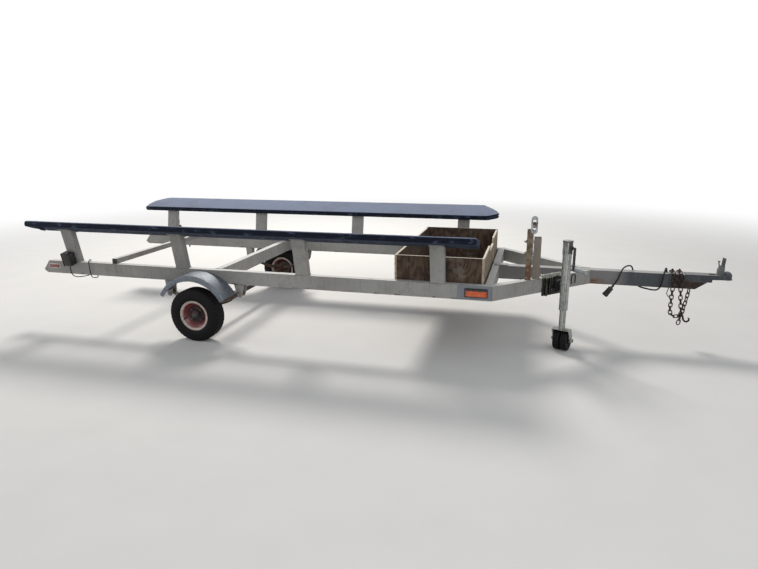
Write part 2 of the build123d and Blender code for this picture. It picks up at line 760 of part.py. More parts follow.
def tube_post(place, size, wall, height):
    """A square upright tube, open at the top."""
    outer = Pos(place.X, place.Y, DECK_Z + height / 2) * Box(size, size, height)
    return outer - Pos(place.X, place.Y, DECK_Z + height / 2) * Box(size - 2 * wall, size - 2 * wall, height)


def stop_place(along):
    return v_point(along, -RAIL_W / 2, DECK_Z)


def stop_roller_centre():
    place = stop_place(STOP_ALONG_V)
    return Vector(place.X + STOP_TUBE / 2 + CHEEK_STEM[2], place.Y, DECK_Z + STOP_H + ROLLER_LIFT)


def roller_cheeks():
    """Two oval cheeks with a pin across them, on a stem bolted to the upright."""
    centre = stop_roller_centre()
    half = ROLLER_L / 2 + 1.5
    plane = Plane(origin=(centre.X, centre.Y + half, centre.Z), x_dir=(1, 0, 0), z_dir=(0, 1, 0))
    cheek = SlotOverall(CHEEK_H, CHEEK_W, rotation=90) - SlotOverall(CHEEK_H - 30, CHEEK_W - 22, rotation=90)
    cheek += Rectangle(CHEEK_W - 10, ROLLER_PIN_D + 10)
    outer = extrude(plane * cheek, CHEEK_T, dir=(0, 1, 0))
    whole = outer + Pos(0, -2 * half - CHEEK_T, 0) * outer
    pin_half = Vector(0, half + CHEEK_T + 4, 0)
    whole += rod(centre - pin_half, centre + pin_half, ROLLER_PIN_D)
    width, height, thick = CHEEK_STEM
    face = centre.X - thick
    top = DECK_Z + STOP_H - 4
    mid_x = face + thick / 2
    whole += Pos(mid_x, centre.Y, top - width / 2) * Box(thick, 2 * (half + CHEEK_T), width)
    return whole + Pos(mid_x, centre.Y, top - height / 2) * Box(thick, width, height)


def bow_roller():
    """A waisted rubber roller on the cheeks' pin."""
    centre = stop_roller_centre()
    half = ROLLER_L / 2
    bore = ROLLER_PIN_D / 2 + RUNNING_GAP
    big = ROLLER_D / 2
    shape = [(bore, -half), (big, -half), (big, -half + 6), (big - 6, -6)]
    shape += [(radius, -out) for radius, out in reversed(shape)]
    return spun(shape, -centre.Y, centre.X, centre.Z)


# Coupler


def ball_centre():
    return NOSE_X - COUPLER_LIP_R, DECK_Z - BALL_DROP


def coupler():
    """A pressed shell: a channel over the tongue, a neck, and a domed socket with a lip."""
    ball_x, ball_z = ball_centre()
    t = COUPLER_T
    half = TONGUE_W / 2 + t
    channel_end = NOSE_X - TONGUE_END_SETBACK + 22
    channel_start = channel_end - COUPLER_CHANNEL
    side = [
        (channel_start, DECK_Z - COUPLER_SIDE * 0.6),
        (channel_start + 25, DECK_Z - COUPLER_SIDE),
        (channel_end, DECK_Z - COUPLER_SIDE),
        (channel_end, DECK_Z + t),
        (channel_start, DECK_Z + t),
    ]
    plane = Plane(origin=(0, half, 0), x_dir=(1, 0, 0), z_dir=(0, -1, 0))
    channel = prism(plane, side, 2 * half)
    channel -= block((channel_start - 1, channel_end + 1), (-TONGUE_W / 2, TONGUE_W / 2), (0, DECK_Z))
    skirt = ball_z + COUPLER_SKIRT_Z
    neck_plan = [(channel_end, -half), (ball_x, -COUPLER_DOME_R)]
    neck_plan += [(ball_x, COUPLER_DOME_R), (channel_end, half)]
    behind_dome = ball_x - COUPLER_DOME_R - 1
    neck_in = [(channel_end - 1, -half + t), (behind_dome, -COUPLER_DOME_R + t)]
    neck_in += [(behind_dome, COUPLER_DOME_R - t), (channel_end - 1, half - t)]
    neck = prism(Plane.XY.offset(skirt), neck_plan, DECK_Z + t - skirt)
    neck -= prism(Plane.XY.offset(skirt - 1), neck_in, DECK_Z - skirt + 1)
    dome = Pos(ball_x, 0, ball_z) * Sphere(COUPLER_DOME_R)
    dome -= block((ball_x - 99, ball_x + 99), (-99, 99), (0, ball_z))
    collar = extrude(Plane.XY.offset(skirt) * (Pos(ball_x, 0) * Circle(COUPLER_DOME_R)), -COUPLER_SKIRT_Z)
    lip = extrude(Plane.XY.offset(skirt) * (Pos(ball_x, 0) * Circle(COUPLER_LIP_R)), t)
    socket = BALL_D / 2 + BALL_GAP
    hollow = Pos(ball_x, 0, ball_z) * Sphere(socket)
    hollow += extrude(Plane.XY.offset(skirt - 1) * (Pos(ball_x, 0) * Circle(socket)), ball_z - skirt + 1)
    return channel + neck + dome + collar + lip - hollow


def coupler_latch():
    """The upright latch: a base on the neck behind the dome, and two prongs leaning forward."""
    x = NOSE_X - LATCH_SETBACK
    length, width, height = LATCH_BASE
    base_z = DECK_Z + COUPLER_T
    whole = block((x - length / 2, x + length / 2), (-width / 2, width / 2), (base_z, base_z + height))
    thick, depth, tall = LATCH_PRONG
    for y in (-width / 2 + depth / 2, width / 2 - depth / 2):
        prong = Pos(0, 0, tall / 2) * Box(thick * 1.6, depth, tall)
        whole += Pos(x, y, base_z + height / 2) * (Rot(0, LATCH_LEAN, 0) * prong)
    bridge = Pos(0, 0, tall * 0.62) * Box(thick, width - depth, thick)
    whole += Pos(x, 0, base_z + height / 2) * (Rot(0, LATCH_LEAN, 0) * bridge)
    ball_x, ball_z = ball_centre()
    return whole - Pos(ball_x, 0, ball_z) * Sphere(COUPLER_DOME_R + SOFT_GAP)


# Swivel jack


def pivot_z():
    return DECK_Z - RAIL_H / 2


def clamp_plane(out):
    """On the V rail's outer face at the pivot: X along the rail, Y up, Z out."""
    return Plane(origin=v_point(JACK_ALONG_V, out, pivot_z()), x_dir=V_T, z_dir=V_N)


def jack_clamp():
    """Ribbed plate on the V rail with two U-bolts and the pivot that the jack swings on."""
    base = clamp_plane(0)
    back, ahead = CLAMP_REACH
    plate = Pos((ahead - back) / 2, 0) * RectangleRounded(ahead + back, CLAMP_H, CORNER_R)
    whole = extrude(base * plate, CLAMP_T, dir=V_N)
    rib_w, rib_out = CLAMP_RIB
    for x in CLAMP_RIBS:
        rib = Pos(x, 0) * Rectangle(rib_w, CLAMP_H - 2 * rib_w)
        whole += extrude(clamp_plane(CLAMP_T - 1) * rib, rib_out + 1, dir=V_N)
    whole += extrude(base * Circle(PIVOT_D / 2), CLAMP_T + PIVOT_L, dir=V_N)
    cap_d, cap_t = PIVOT_CAP
    whole += extrude(clamp_plane(CLAMP_T + PIVOT_L) * Circle(cap_d / 2), cap_t, dir=V_N)
    for x in CLAMP_U_BOLTS:
        whole += clamp_u_bolt(x)
    return whole


def clamp_u_bolt(x):
    """A U-bolt round the V rail: legs over and under it, nuts on the plate."""
    leg = RAIL_H / 2 + CLAMP_BOLT_D / 2 + U_BOLT_GAP
    behind = -RAIL_W - CLAMP_BOLT_D / 2 - U_BOLT_GAP
    front = CLAMP_T + CLAMP_BOLT_OUT
    plane = clamp_plane(0)
    corners = [(leg, front), (leg, behind), (-leg, behind), (-leg, front)]
    points = [plane.from_local_coords(Vector(x, y, out)) for y, out in corners]
    shape = bent_rod(points, CLAMP_BOLT_D, U_BOLT_BEND)
    for y in (-leg, leg):
        shape += hex_nut(plane.from_local_coords(Vector(x, y, CLAMP_T)), V_N, CLAMP_BOLT_D)
    return shape


def jack_axis(z):
    return v_point(JACK_ALONG_V, JACK_STANDOFF, z)


def upright_ring(low, high, outer_d, inner_d):
    """A tube about the jack's own axis."""
    ring = Circle(outer_d / 2) - Circle(inner_d / 2) if inner_d else Circle(outer_d / 2)
    return extrude(Plane(origin=jack_axis(low)) * ring, high - low)


def jack_bore():
    return JACK_OUTER_D - 2 * JACK_OUTER_T


def pivot_socket():
    """The solid drum of the jack that turns in front of the clamp's plate."""
    drum_from = CLAMP_T + SOCKET_GAP
    return extrude(clamp_plane(drum_from) * Circle(SOCKET_D / 2), SOCKET_L - SOCKET_GAP + 1, dir=V_N)


def jack_outer_tube():
    """The jack's body: its tube with a bush at the foot, and the socket on the clamp's pivot."""
    head_low = JACK_TOP - JACK_HEAD_H
    socket = pivot_socket()
    reach = JACK_STANDOFF - CLAMP_T - SOCKET_L
    socket += extrude(clamp_plane(CLAMP_T + SOCKET_L) * Circle(JACK_OUTER_D / 2 - 2), reach, dir=V_N)
    cap_d, cap_t = PIVOT_CAP
    neck = CLAMP_T + PIVOT_L - 2
    socket -= extrude(clamp_plane(0) * Circle(PIVOT_D / 2 + RUNNING_GAP), neck, dir=V_N)
    socket -= extrude(clamp_plane(neck) * Circle(cap_d / 2 + 2), cap_t + 4, dir=V_N)
    tube = upright_ring(JACK_OUTER_BOTTOM, head_low, JACK_OUTER_D, 0) + socket
    tube -= upright_ring(JACK_OUTER_BOTTOM + JACK_BUSH_H, head_low + 1, jack_bore(), 0)
    return tube - upright_ring(JACK_OUTER_BOTTOM - 1, head_low, JACK_INNER_D + 2 * RAM_GAP, 0)


def pull_pin():
    """The spring plunger that locks the swing, with its pull ring."""
    base = clamp_plane(CLAMP_T)
    turn = math.radians(PIN_ANGLE)
    x = PIN_REACH * math.cos(turn)
    y = PIN_REACH * math.sin(turn)
    tip, shoulder, knob, end = [base.from_local_coords(Vector(x, y, z)) for z in PIN_STEPS]
    whole = rod(tip, shoulder, PIN_TIP_D) + rod(shoulder, knob, PIN_BODY_D) + rod(knob, end, PIN_TIP_D)
    outward = V_T * math.cos(turn) + Vector(0, 0, math.sin(turn))
    ear_plane = Plane(origin=clamp_plane(CLAMP_T + PIN_STEPS[1] + 2).origin, x_dir=outward, z_dir=V_N)
    ear = Pos((SOCKET_D / 2 + PIN_REACH) / 2 - 1) * Rectangle(PIN_REACH - SOCKET_D / 2 + 2, PIN_BODY_D - 3)
    whole += extrude(ear_plane * ear, PIN_STEPS[2] - PIN_STEPS[1] - 4, dir=V_N)
    length, width, thick = PULL_RING
    drop = (length - PIN_TIP_D) / 2 - thick - SOFT_GAP
    ring_centre = base.from_local_coords(Vector(x, y - drop, PIN_STEPS[2] + 6))
    ring_plane = Plane(origin=ring_centre, x_dir=V_T, z_dir=V_N)
    opening = SlotOverall(length - 2 * thick, width - 2 * thick, rotation=90)
    ring = SlotOverall(length, width, rotation=90) - opening
    return whole - pivot_socket(), extrude(ring_plane * ring, thick, dir=V_N)


def jack_gearbox():
    """The head over the tube's top, its cap, and the crank's bearing boss."""
    head_low = JACK_TOP - JACK_HEAD_H
    bore = jack_bore()
    head = upright_ring(head_low, JACK_TOP - JACK_CAP_T, JACK_HEAD_D, bore)
    cap = upright_ring(JACK_TOP - JACK_CAP_T, JACK_TOP, JACK_HEAD_D + 4, 0)
    boss_from = jack_axis(CRANK_Z) + V_N * (JACK_HEAD_D / 2 - 6)
    boss = rod(boss_from, boss_from + V_N * 14, CRANK_SHAFT[0] + 16)
    boss -= upright_ring(head_low, JACK_TOP, bore + 6, 0)
    return head + cap + boss


def jack_crank():
    """Shaft, arm hanging straight down, and a grip that points out."""
    shaft_d, shaft_l = CRANK_SHAFT
    width, thick, drop = CRANK_ARM
    grip_d, grip_l = CRANK_GRIP
    start = jack_axis(CRANK_Z) + V_N * (JACK_HEAD_D / 2 + 8)
    end = start + V_N * shaft_l
    whole = rod(start, end, shaft_d)
    arm_plane = Plane(origin=end - V_N * thick, x_dir=V_T, z_dir=V_N)
    arm = Pos(0, -drop / 2) * SlotOverall(drop + width, width, rotation=90)
    whole += extrude(arm_plane * arm, thick, dir=V_N)
    grip = end - Vector(0, 0, drop)
    return whole + rod(grip - V_N * 1, grip + V_N * grip_l, grip_d)


def jack_inner_tube():
    """The ram: a tube with a guide collar on top, and a plug in its foot with the caster's bore."""
    foot = FORK_TOP_Z + WASHER_T
    bore = JACK_INNER_D - 2 * JACK_INNER_T
    tube = upright_ring(foot, JACK_INNER_TOP, JACK_INNER_D, bore)
    collar_low = JACK_INNER_TOP - JACK_COLLAR_H
    collar = upright_ring(collar_low, JACK_INNER_TOP, jack_bore() - 2 * RAM_GAP, JACK_INNER_D - 1)
    plug = upright_ring(foot, foot + PLUG_H, bore + 1, STEM_D + 2 * RUNNING_GAP)
    return tube + collar + plug


def caster_frame():
    """Local frame of the caster: X along its axle, Y towards its trail, Z up from the ground."""
    place = jack_axis(0)
    return Pos(place.X, place.Y, 0) * Rot(0, 0, CASTER_TURN)


def jack_fork():
    """A bent-plate fork with its stem, thrust washer and axle bolt."""
    pack = 2 * JACK_WHEEL_W + JACK_WHEEL_SPLIT
    inside = pack / 2 + FORK_SIDE_GAP
    outside = inside + FORK_T
    axle_z = JACK_WHEEL_D / 2
    low = FORK_TOP_Z - FORK_TOP_T
    top = block((-outside, outside), (-28, 28), (low, FORK_TOP_Z))
    side_plane = Plane(origin=(inside, 0, 0), x_dir=(0, 1, 0), z_dir=(1, 0, 0))
    upper = Pos(0, FORK_TOP_Z - 2) * Rectangle(56, 4)
    lower = Pos(FORK_TRAIL, axle_z) * Circle(19)
    side = extrude(side_plane * make_hull(upper.edges() + lower.edges()), FORK_T, dir=(1, 0, 0))
    whole = top + side + mirror(side, about=Plane.YZ)
    whole += rod((0, 0, low), (0, 0, FORK_TOP_Z + WASHER_T + PLUG_H - 3), STEM_D)
    whole += rod((0, 0, FORK_TOP_Z - 1), (0, 0, FORK_TOP_Z + WASHER_T - 0.5), WASHER_D)
    bolt_end = outside + JACK_AXLE_D
    whole += rod((-bolt_end, FORK_TRAIL, axle_z), (bolt_end, FORK_TRAIL, axle_z), JACK_AXLE_D)
    for hand in (-1, 1):
        whole += hex_nut((hand * outside, FORK_TRAIL, axle_z), (hand, 0, 0), JACK_AXLE_D)
    return caster_frame() * whole


def jack_wheels():
    """Twin crowned wheels on one sleeve."""
    r = JACK_WHEEL_D / 2
    bore = JACK_AXLE_D / 2 + RUNNING_GAP
    half = JACK_WHEEL_SPLIT / 2
    w = JACK_WHEEL_W
    wheel = [(bore, half), (r - 9, half), (r - 2, half + 4), (r, half + 14)]
    wheel += [(r, half + w - 14), (r - 2, half + w - 4), (r - 9, half + w - 1), (r - 26, half + w - 1)]
    wheel += [(r - 29, half + w - 7), (26, half + w - 7), (24, half + w), (bore, half + w)]
    ring = revolve(Polygon(*wheel, align=None), Axis.Y)
    sleeve = revolve(Polygon((bore, -half), (20, -half), (20, half), (bore, half), align=None), Axis.Y)
    pair = ring + mirror(ring, about=Plane.XZ) + sleeve
    turned = Rot(0, 0, 90) * pair
    return caster_frame() * (Pos(0, FORK_TRAIL, r) * turned)


# Safety chains


def chain_joints(route):
    """Points along a route of straight runs, each one pitch from the last in a straight line."""
    pitch = CHAIN_LINK_L - 2 * CHAIN_WIRE - CHAIN_SLACK
    corners = [Vector(*point) for point in route]
    joints = [corners[0]]
    for start, end in zip(corners, corners[1:]):
        while (end - joints[-1]).length >= pitch:
            run = (end - start).normalized()
            back = start - joints[-1]
            toward = back.dot(run)
            reach = math.sqrt(toward**2 - back.dot(back) + pitch**2) - toward
            joints.append(start + run * reach)
    return joints


def chain_links(route):
    """Interlocked links along a route: the first lies flat, and each next one is turned a quarter."""
    joints = chain_joints(route)
    link = chain_link()
    links = []
    flat = Vector(0, 0, 1)
    for i, (start, end) in enumerate(zip(joints, joints[1:])):
        along = (end - start).normalized()
        flat = (flat - along * flat.dot(along)).normalized()
        normal = along.cross(flat) if i % 2 else flat
        plane = Plane(origin=(start + end) * 0.5, x_dir=along, z_dir=normal)
        links.append(plane.location * link)
    return links


def chain_link():
    """One link lying along X: an eight-sided ring, bevelled inside so that its neighbours can turn."""
    flat = CHAIN_WIRE / 2 + 0.8
    rings = []
    for inset in (0, CHAIN_WIRE):
        length = CHAIN_LINK_L / 2 - inset
        width = CHAIN_LINK_W / 2 - inset
        level = flat + (CHAIN_WIRE - inset) * math.tan(math.radians(22.5))
        bend = length - (width - level)
        quarter = [(length, level), (bend, width)]
        points = quarter + [(-x, y) for x, y in reversed(quarter)]
        points += [(-x, -y) for x, y in points]
        rings.append(Polygon(*points, align=None))
    ring = extrude(rings[0] - rings[1], CHAIN_WIRE / 2, both=True)
    rims = []
    for edge in ring.edges():
        middle = edge.center()
        inside = abs(middle.X) < length + 0.1 and abs(middle.Y) < width + 0.1
        if inside and abs(middle.Z) > CHAIN_WIRE / 2 - 0.1:
            rims.append(edge)
    return chamfer(rims, CHAIN_WIRE * 0.34)


def tongue_point(behind_nose, y, z):
    """A chosen point by the tongue, measured back from the nose."""
    return NOSE_X - behind_nose, y, z


CHAIN_SEAT = RAIL_BOTTOM - CHAIN_WIRE - CHAIN_SLACK
LONG_CHAIN = [
    (393, 26, DECK_Z + 7.3),
    (392, -1, DECK_Z + 21),
    (391, -28, DECK_Z + 24.5),
    (390, -54, DECK_Z + 13),
    (389, -67, DECK_Z - 15),
    (388, -68, DECK_Z - 46),
    (387, -64, 430),
    (385, -54, 340),
    (383, -42, 285),
    (381, -34, 252),
    (375, -29, 229),
    (358, -24, 212),
    (335, -19, 206),
    (312, -15, 212),
    (295, -12, 229),
    (289, -10, 252),
    (284, -8, 292),
    (273, -6, 360),
    (266, -5, CHAIN_SEAT),
]
SHORT_CHAIN = [
    (346, 30, DECK_Z + 7.3),
    (345, 3, DECK_Z + 21),
    (344, -24, DECK_Z + 24.5),
    (343, -50, DECK_Z + 13),
    (342, -66, DECK_Z - 13),
    (341, -68, DECK_Z - 43),
    (336, -68, 430),
    (326, -66, 340),
    (314, -64, 262),
    (316, -61, 206),
    (326, -58, 150),
]


def safety_chains():
    """Both start on the tongue's top: one loops back to its underside, one hangs free."""
    loop = [tongue_point(*point) for point in LONG_CHAIN]
    free = [tongue_point(*point) for point in SHORT_CHAIN]
    return chain_links(loop) + chain_links(free)


# Lights and wiring


def tail_light_inner():
    """The lamp's inner face: clear of the leaning post and its plate at the lamp's top."""
    rise = TAIL_LIGHT_Z + TAIL_LIGHT[2] - DECK_Z
    return -RAIL_OUT - rise * math.tan(math.radians(POST_LEAN)) - TAIL_PLATE[2] - 3


def tail_light():
    """A box lamp outside the rear post."""
    length, depth, height = TAIL_LIGHT
    inner = tail_light_inner()
    front = REAR_X + POST_FIRST + TAIL_LIGHT_AHEAD
    body = block((front - length, front), (inner - depth, inner), (TAIL_LIGHT_Z, TAIL_LIGHT_Z + height))
    return fillet(body.edges().filter_by(Axis.Z), 9)


def tail_light_plate():
    """The plate that carries the lamp, lying on the post's outer face."""
    lean = math.radians(POST_LEAN)
    face = Vector(0, -math.cos(lean), -math.sin(lean))
    up = Vector(0, -math.sin(lean), math.cos(lean))
    foot = Vector(REAR_X + POST_FIRST + TAIL_PLATE_AHEAD, -RAIL_OUT, DECK_Z)
    plane = Plane(origin=foot + up * TAIL_PLATE_RISE, x_dir=(1, 0, 0), z_dir=face)
    width, height, thick = TAIL_PLATE
    plate = extrude(plane * Rectangle(width, height), thick, dir=face)
    inner = tail_light_inner()
    z = TAIL_LIGHT_Z + TAIL_LIGHT[2] * 0.62
    x = foot.X - 16
    reach = rod((x, inner, z), (x, inner + 40, z), 26)
    post_face = Plane(origin=foot, x_dir=(1, 0, 0), z_dir=face)
    return plate + split(reach, post_face, keep=Keep.TOP)


def side_marker():
    """Amber lamp on the rail's outer face just behind the kink."""
    length, depth, height = MARKER
    x = KINK_X - MARKER_BEHIND_KINK
    z = RAIL_BOTTOM + RAIL_H / 2
    base_t = depth * 0.35
    base = Pos(x, -RAIL_OUT - base_t / 2, z) * Box(length, base_t, height)
    plane = Plane(origin=(x, -RAIL_OUT - base_t, z), x_dir=(1, 0, 0), z_dir=(0, -1, 0))
    lens = extrude(plane * RectangleRounded(length - 10, height - 10, 10), depth - base_t, dir=(0, -1, 0))
    return base + lens


def wiring_route():
    """The lead: out of the tongue's top, once round the tongue, and down to its plug."""
    chosen = [
        (424, 14, DECK_Z),
        (424, 14, DECK_Z + 20),
        (430, 0, DECK_Z + 34),
        (440, -26, DECK_Z + 36),
        (450, -52, DECK_Z + 18),
        (456, -62, DECK_Z - 16),
        (460, -64, DECK_Z - 52),
        (466, -62, DECK_Z - 88),
        (484, -54, RAIL_BOTTOM - 17),
        (518, -34, RAIL_BOTTOM - 23),
        (556, -8, RAIL_BOTTOM - 21),
        (592, 24, RAIL_BOTTOM - 20),
        (616, 54, RAIL_BOTTOM - 6),
        (630, 66, RAIL_BOTTOM + 37),
        (639, 67, DECK_Z - 15),
        (653, 56, DECK_Z + 24),
        (678, 20, DECK_Z + 36),
        (707, -18, DECK_Z + 36),
        (732, -52, DECK_Z + 21),
        (746, -66, DECK_Z - 20),
        (760, -69, DECK_Z - 64),
        (784, -69, RAIL_BOTTOM + 3),
    ]
    return [tongue_point(*point) for point in chosen]


def tail_wire_route():
    """From the lamp's underside, under the rail, up over it and back into its underside."""
    x = REAR_X + POST_FIRST
    out = -RAIL_OUT
    return [
        (x + 2, out - 56, TAIL_LIGHT_Z),
        (x + 2, out - 56, TAIL_LIGHT_Z - 48),
        (x + 10, out - 48, RAIL_BOTTOM - 2),
        (x + 34, out - 24, RAIL_BOTTOM - 18),
        (x + 66, out + 16, RAIL_BOTTOM - 18),
        (x + 90, out + 58, RAIL_BOTTOM - 13),
        (x + 98, out + 69, RAIL_BOTTOM + 26),
        (x + 99, out + 69, DECK_Z - 28),
        (x + 106, out + 57, DECK_Z + 13),
        (x + 124, out + 26, DECK_Z + 18),
        (x + 142, out - 8, DECK_Z + 11),
        (x + 152, out - 18, DECK_Z - 28),
        (x + 156, out - 18, RAIL_BOTTOM + 20),
        (x + 160, out - 13, RAIL_BOTTOM - 14),
        (x + 170, out + 8, RAIL_BOTTOM - 24),
        (x + 180, out + 32, RAIL_BOTTOM - 24),
        (x + 180, out + 32, RAIL_BOTTOM),
    ]


def twine_route():
    """Tied over the box's notch: from inside, over the edge and down to the crossmember."""
    front = box_frame()[1]
    edge = DECK_Z + BOX_TOP_ABOVE_DECK - NOTCH_D
    inside = front - PLY_T
    return [
        (inside - 2.5, -62, edge - 96),
        (inside - 7, -64, edge - 52),
        (inside - 10, -60, edge - 12),
        (inside - 3, -52, edge + 13),
        (front - 2, -40, edge + 14),
        (front + 9, -26, edge - 14),
        (front + 13, -8, edge - 50),
        (front + 19, 8, DECK_Z + 24),
        (front + 19, 8, DECK_Z),
    ]


def corner_radii(points):
    """The largest arc at each corner that its two runs allow."""
    radii = []
    for before, here, after in zip(points, points[1:], points[2:]):
        run_in = Vector(*here) - Vector(*before)
        run_out = Vector(*after) - Vector(*here)
        turn = math.radians(run_in.get_angle(run_out))
        radii.append(0.45 * min(run_in.length, run_out.length) / math.tan(turn / 2))
    return radii


def cord(name, points, diameter):
    """A tube along straight runs joined by tangent arcs; prints its bends and its volume."""
    radii = corner_radii(points)
    path = FilletPolyline(*points, radius=radii)
    start = Plane(origin=path @ 0, z_dir=path % 0)
    tube = sweep(start * Circle(diameter / 2), path=path)
    ideal = math.pi * diameter**2 / 4 * path.length
    print(name, "radii", [round(r) for r in radii], "length", round(path.length))
    print(name, "volume ratio", round(tube.volume / ideal, 4))
    return tube


def wiring_plug():
    """A round plug hanging on the end of the lead, in line with its last run."""
    route = wiring_route()
    end = Vector(*route[-1])
    along = (end - Vector(*route[-2])).normalized()
    neck_d, neck_l = PLUG_NECK
    plane = Plane(origin=end, z_dir=along)
    neck = extrude(plane * Circle(neck_d / 2), neck_l, dir=along)
    body_at = plane.offset(neck_l)
    body = extrude(body_at * Circle(PLUG_D / 2 - 3), PLUG_L - neck_l, dir=along)
    for start, width in ((8, 12), (PLUG_L - neck_l - 20, 20)):
        body += extrude(plane.offset(neck_l + start) * Circle(PLUG_D / 2), width, dir=along)
    hollow = extrude(plane.offset(PLUG_L - 14) * Circle(PLUG_D / 2 - 5), 15, dir=along)
    return neck + body - hollow


def main():
    os.makedirs("parts", exist_ok=True)
    front_hanger, rear_hanger = spring_hangers()
    panel_side, panel_rear, panel_front, panel_floor = box_panels()
    box_rear, box_front = box_frame()[:2]
    paired = {
        "rail": [side_rail()],
        "v_rail": [v_rail()],
        "fender": [fender()],
        "tyre": [tyre()],
        "wheel_rim": [rim()],
        "hub": [hub()],
        "box_panel": [panel_side],
        "bunk_posts": [bunk_post(REAR_X + POST_FIRST + i * POST_PITCH) for i in range(POST_COUNT)],
    }
    for name, shapes in paired.items():
        for side, hand in SIDES:
            save(f"{name}_{side}", *[for_side(shape, hand) for shape in shapes])
    save("bunk_right", bunk(BUNK_SETBACK_RIGHT))
    save("bunk_left", for_side(bunk(BUNK_SETBACK_LEFT), -1))

    both = {
        "leaf_springs": [leaf_spring()],
        "spring_hangers": [front_hanger, rear_hanger],
        "axle_u_bolts": [axle_u_bolts()],
        "tail_lights": [tail_light()],
        "tail_light_plates": [tail_light_plate()],
        "side_markers": [side_marker()],
    }
    for name, shapes in both.items():
        save(name, *[for_side(shape, hand) for side, hand in SIDES for shape in shapes])

    save("crossmember_main", main_crossmember())
    save("crossmember_front", front_crossmember())
    save("crossbar_rear", rear_crossbar())
    save("crossbar_plugs", *crossbar_plugs())
    save("tongue", tongue())
    save("axle_beam", axle_beam())
    save("box_panel_rear", panel_rear)
    save("box_panel_front", panel_front)
    save("box_floor", panel_floor)
    save("box_supports", box_support(box_rear, -1), box_support(box_front, 1))
    save("bow_stop_post", tube_post(stop_place(STOP_ALONG_V), STOP_TUBE, UPRIGHT_WALL, STOP_H))
    save("open_upright", tube_post(stop_place(UPRIGHT_ALONG_V), UPRIGHT_TUBE, UPRIGHT_WALL, UPRIGHT_H))
    save("bow_roller_cheeks", roller_cheeks())
    save("bow_roller", bow_roller())
    save("coupler", coupler())
    save("coupler_latch", coupler_latch())
    save("safety_chains", *safety_chains())
    save("jack_clamp", jack_clamp())
    save("jack_outer_tube", jack_outer_tube())
    save("jack_pull_pin", *pull_pin())
    save("jack_gearbox", jack_gearbox())
    save("jack_crank", jack_crank())
    save("jack_inner_tube", jack_inner_tube())
    save("jack_fork", jack_fork())
    save("jack_wheels", jack_wheels())
    save("wiring_plug", wiring_plug())
    save("wiring_lead", cord("wiring lead", wiring_route(), LEAD_D))
    wire = cord("tail light wire", tail_wire_route(), TAIL_WIRE_D)
    save("tail_light_wires", wire, mirror(wire, about=Plane.XZ))
    save("box_twine", cord("box twine", twine_route(), TWINE_D))


main()
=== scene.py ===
import random
from functools import reduce
from itertools import product
from math import cos, exp, pi, radians, sin, sqrt, tan

import bmesh
import bpy
from mathutils import Matrix, Vector, noise


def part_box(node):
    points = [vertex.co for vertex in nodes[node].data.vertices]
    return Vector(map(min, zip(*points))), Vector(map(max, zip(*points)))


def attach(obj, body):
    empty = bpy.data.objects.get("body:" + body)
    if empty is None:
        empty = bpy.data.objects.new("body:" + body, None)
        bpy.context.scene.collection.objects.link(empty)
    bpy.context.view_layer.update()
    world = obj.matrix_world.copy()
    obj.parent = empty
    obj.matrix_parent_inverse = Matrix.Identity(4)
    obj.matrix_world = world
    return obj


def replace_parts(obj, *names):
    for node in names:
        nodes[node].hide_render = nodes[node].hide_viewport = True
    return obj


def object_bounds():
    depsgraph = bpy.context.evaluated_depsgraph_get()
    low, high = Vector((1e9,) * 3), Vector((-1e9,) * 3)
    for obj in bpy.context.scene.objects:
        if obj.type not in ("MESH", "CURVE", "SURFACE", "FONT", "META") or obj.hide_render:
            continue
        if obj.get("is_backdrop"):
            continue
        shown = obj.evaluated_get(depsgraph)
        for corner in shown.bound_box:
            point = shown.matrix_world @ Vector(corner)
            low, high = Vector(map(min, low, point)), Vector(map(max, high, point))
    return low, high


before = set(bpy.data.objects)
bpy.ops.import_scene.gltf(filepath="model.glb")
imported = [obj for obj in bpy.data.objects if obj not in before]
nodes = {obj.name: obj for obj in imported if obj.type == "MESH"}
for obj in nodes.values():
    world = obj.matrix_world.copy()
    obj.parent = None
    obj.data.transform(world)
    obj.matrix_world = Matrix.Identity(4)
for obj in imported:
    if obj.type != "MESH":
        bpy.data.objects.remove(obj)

# A bunk boat trailer: finishes, small fittings, tyre treads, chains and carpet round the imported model.
# Metres. X runs forward to the coupler, Y to the trailer's left, Z up from the ground.

cad_low, cad_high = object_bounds()
random.seed(4)

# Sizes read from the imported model
rail_low, rail_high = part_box("rail_right")
tyre_low, tyre_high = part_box("tyre_right")
panel_low, panel_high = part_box("box_panel_right")
REAR_X = rail_low.x
KINK_X = rail_high.x
NOSE_X = cad_high.x
RAIL_OUT = -rail_low.y
RAIL_IN = -rail_high.y
RAIL_BOTTOM = rail_low.z
DECK_Z = rail_high.z
AXLE_X = (tyre_low.x + tyre_high.x) / 2
AXLE_Z = (tyre_low.z + tyre_high.z) / 2
TYRE_R = (tyre_high.z - tyre_low.z) / 2
TYRE_Y = -(tyre_low.y + tyre_high.y) / 2
TYRE_HALF = (tyre_high.y - tyre_low.y) / 2
TONGUE_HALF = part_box("tongue")[1].y

# Sizes repeated from the model's source
V_ANGLE = radians(44)
POST_FIRST = 0.317
POST_PITCH = 0.994
POST_COUNT = 4
POST_W = 0.102
POST_D = 0.051
POST_LEAN = radians(11)
BUNK_TILT = radians(18)
BUNK_W = 0.234
BUNK_T = 0.045
BUNK_OVERHANG = 0.166
BUNK_RISE = 0.355
CHAIN_WIRE = 0.0075
CHAIN_LINK_L = 0.047
CHAIN_LINK_W = 0.030
CHAIN_SLACK = 0.0009
RIM_SEAT_R = 0.1005
LEAD_D = 0.011
JACK_ALONG_V = 0.567
JACK_STANDOFF = 0.100
JACK_HEAD_R = 0.0335
JACK_TOP = 0.800
CRANK_Z = 0.752
MARKER_Z = 0.476
REFLECTOR_Z = 0.484

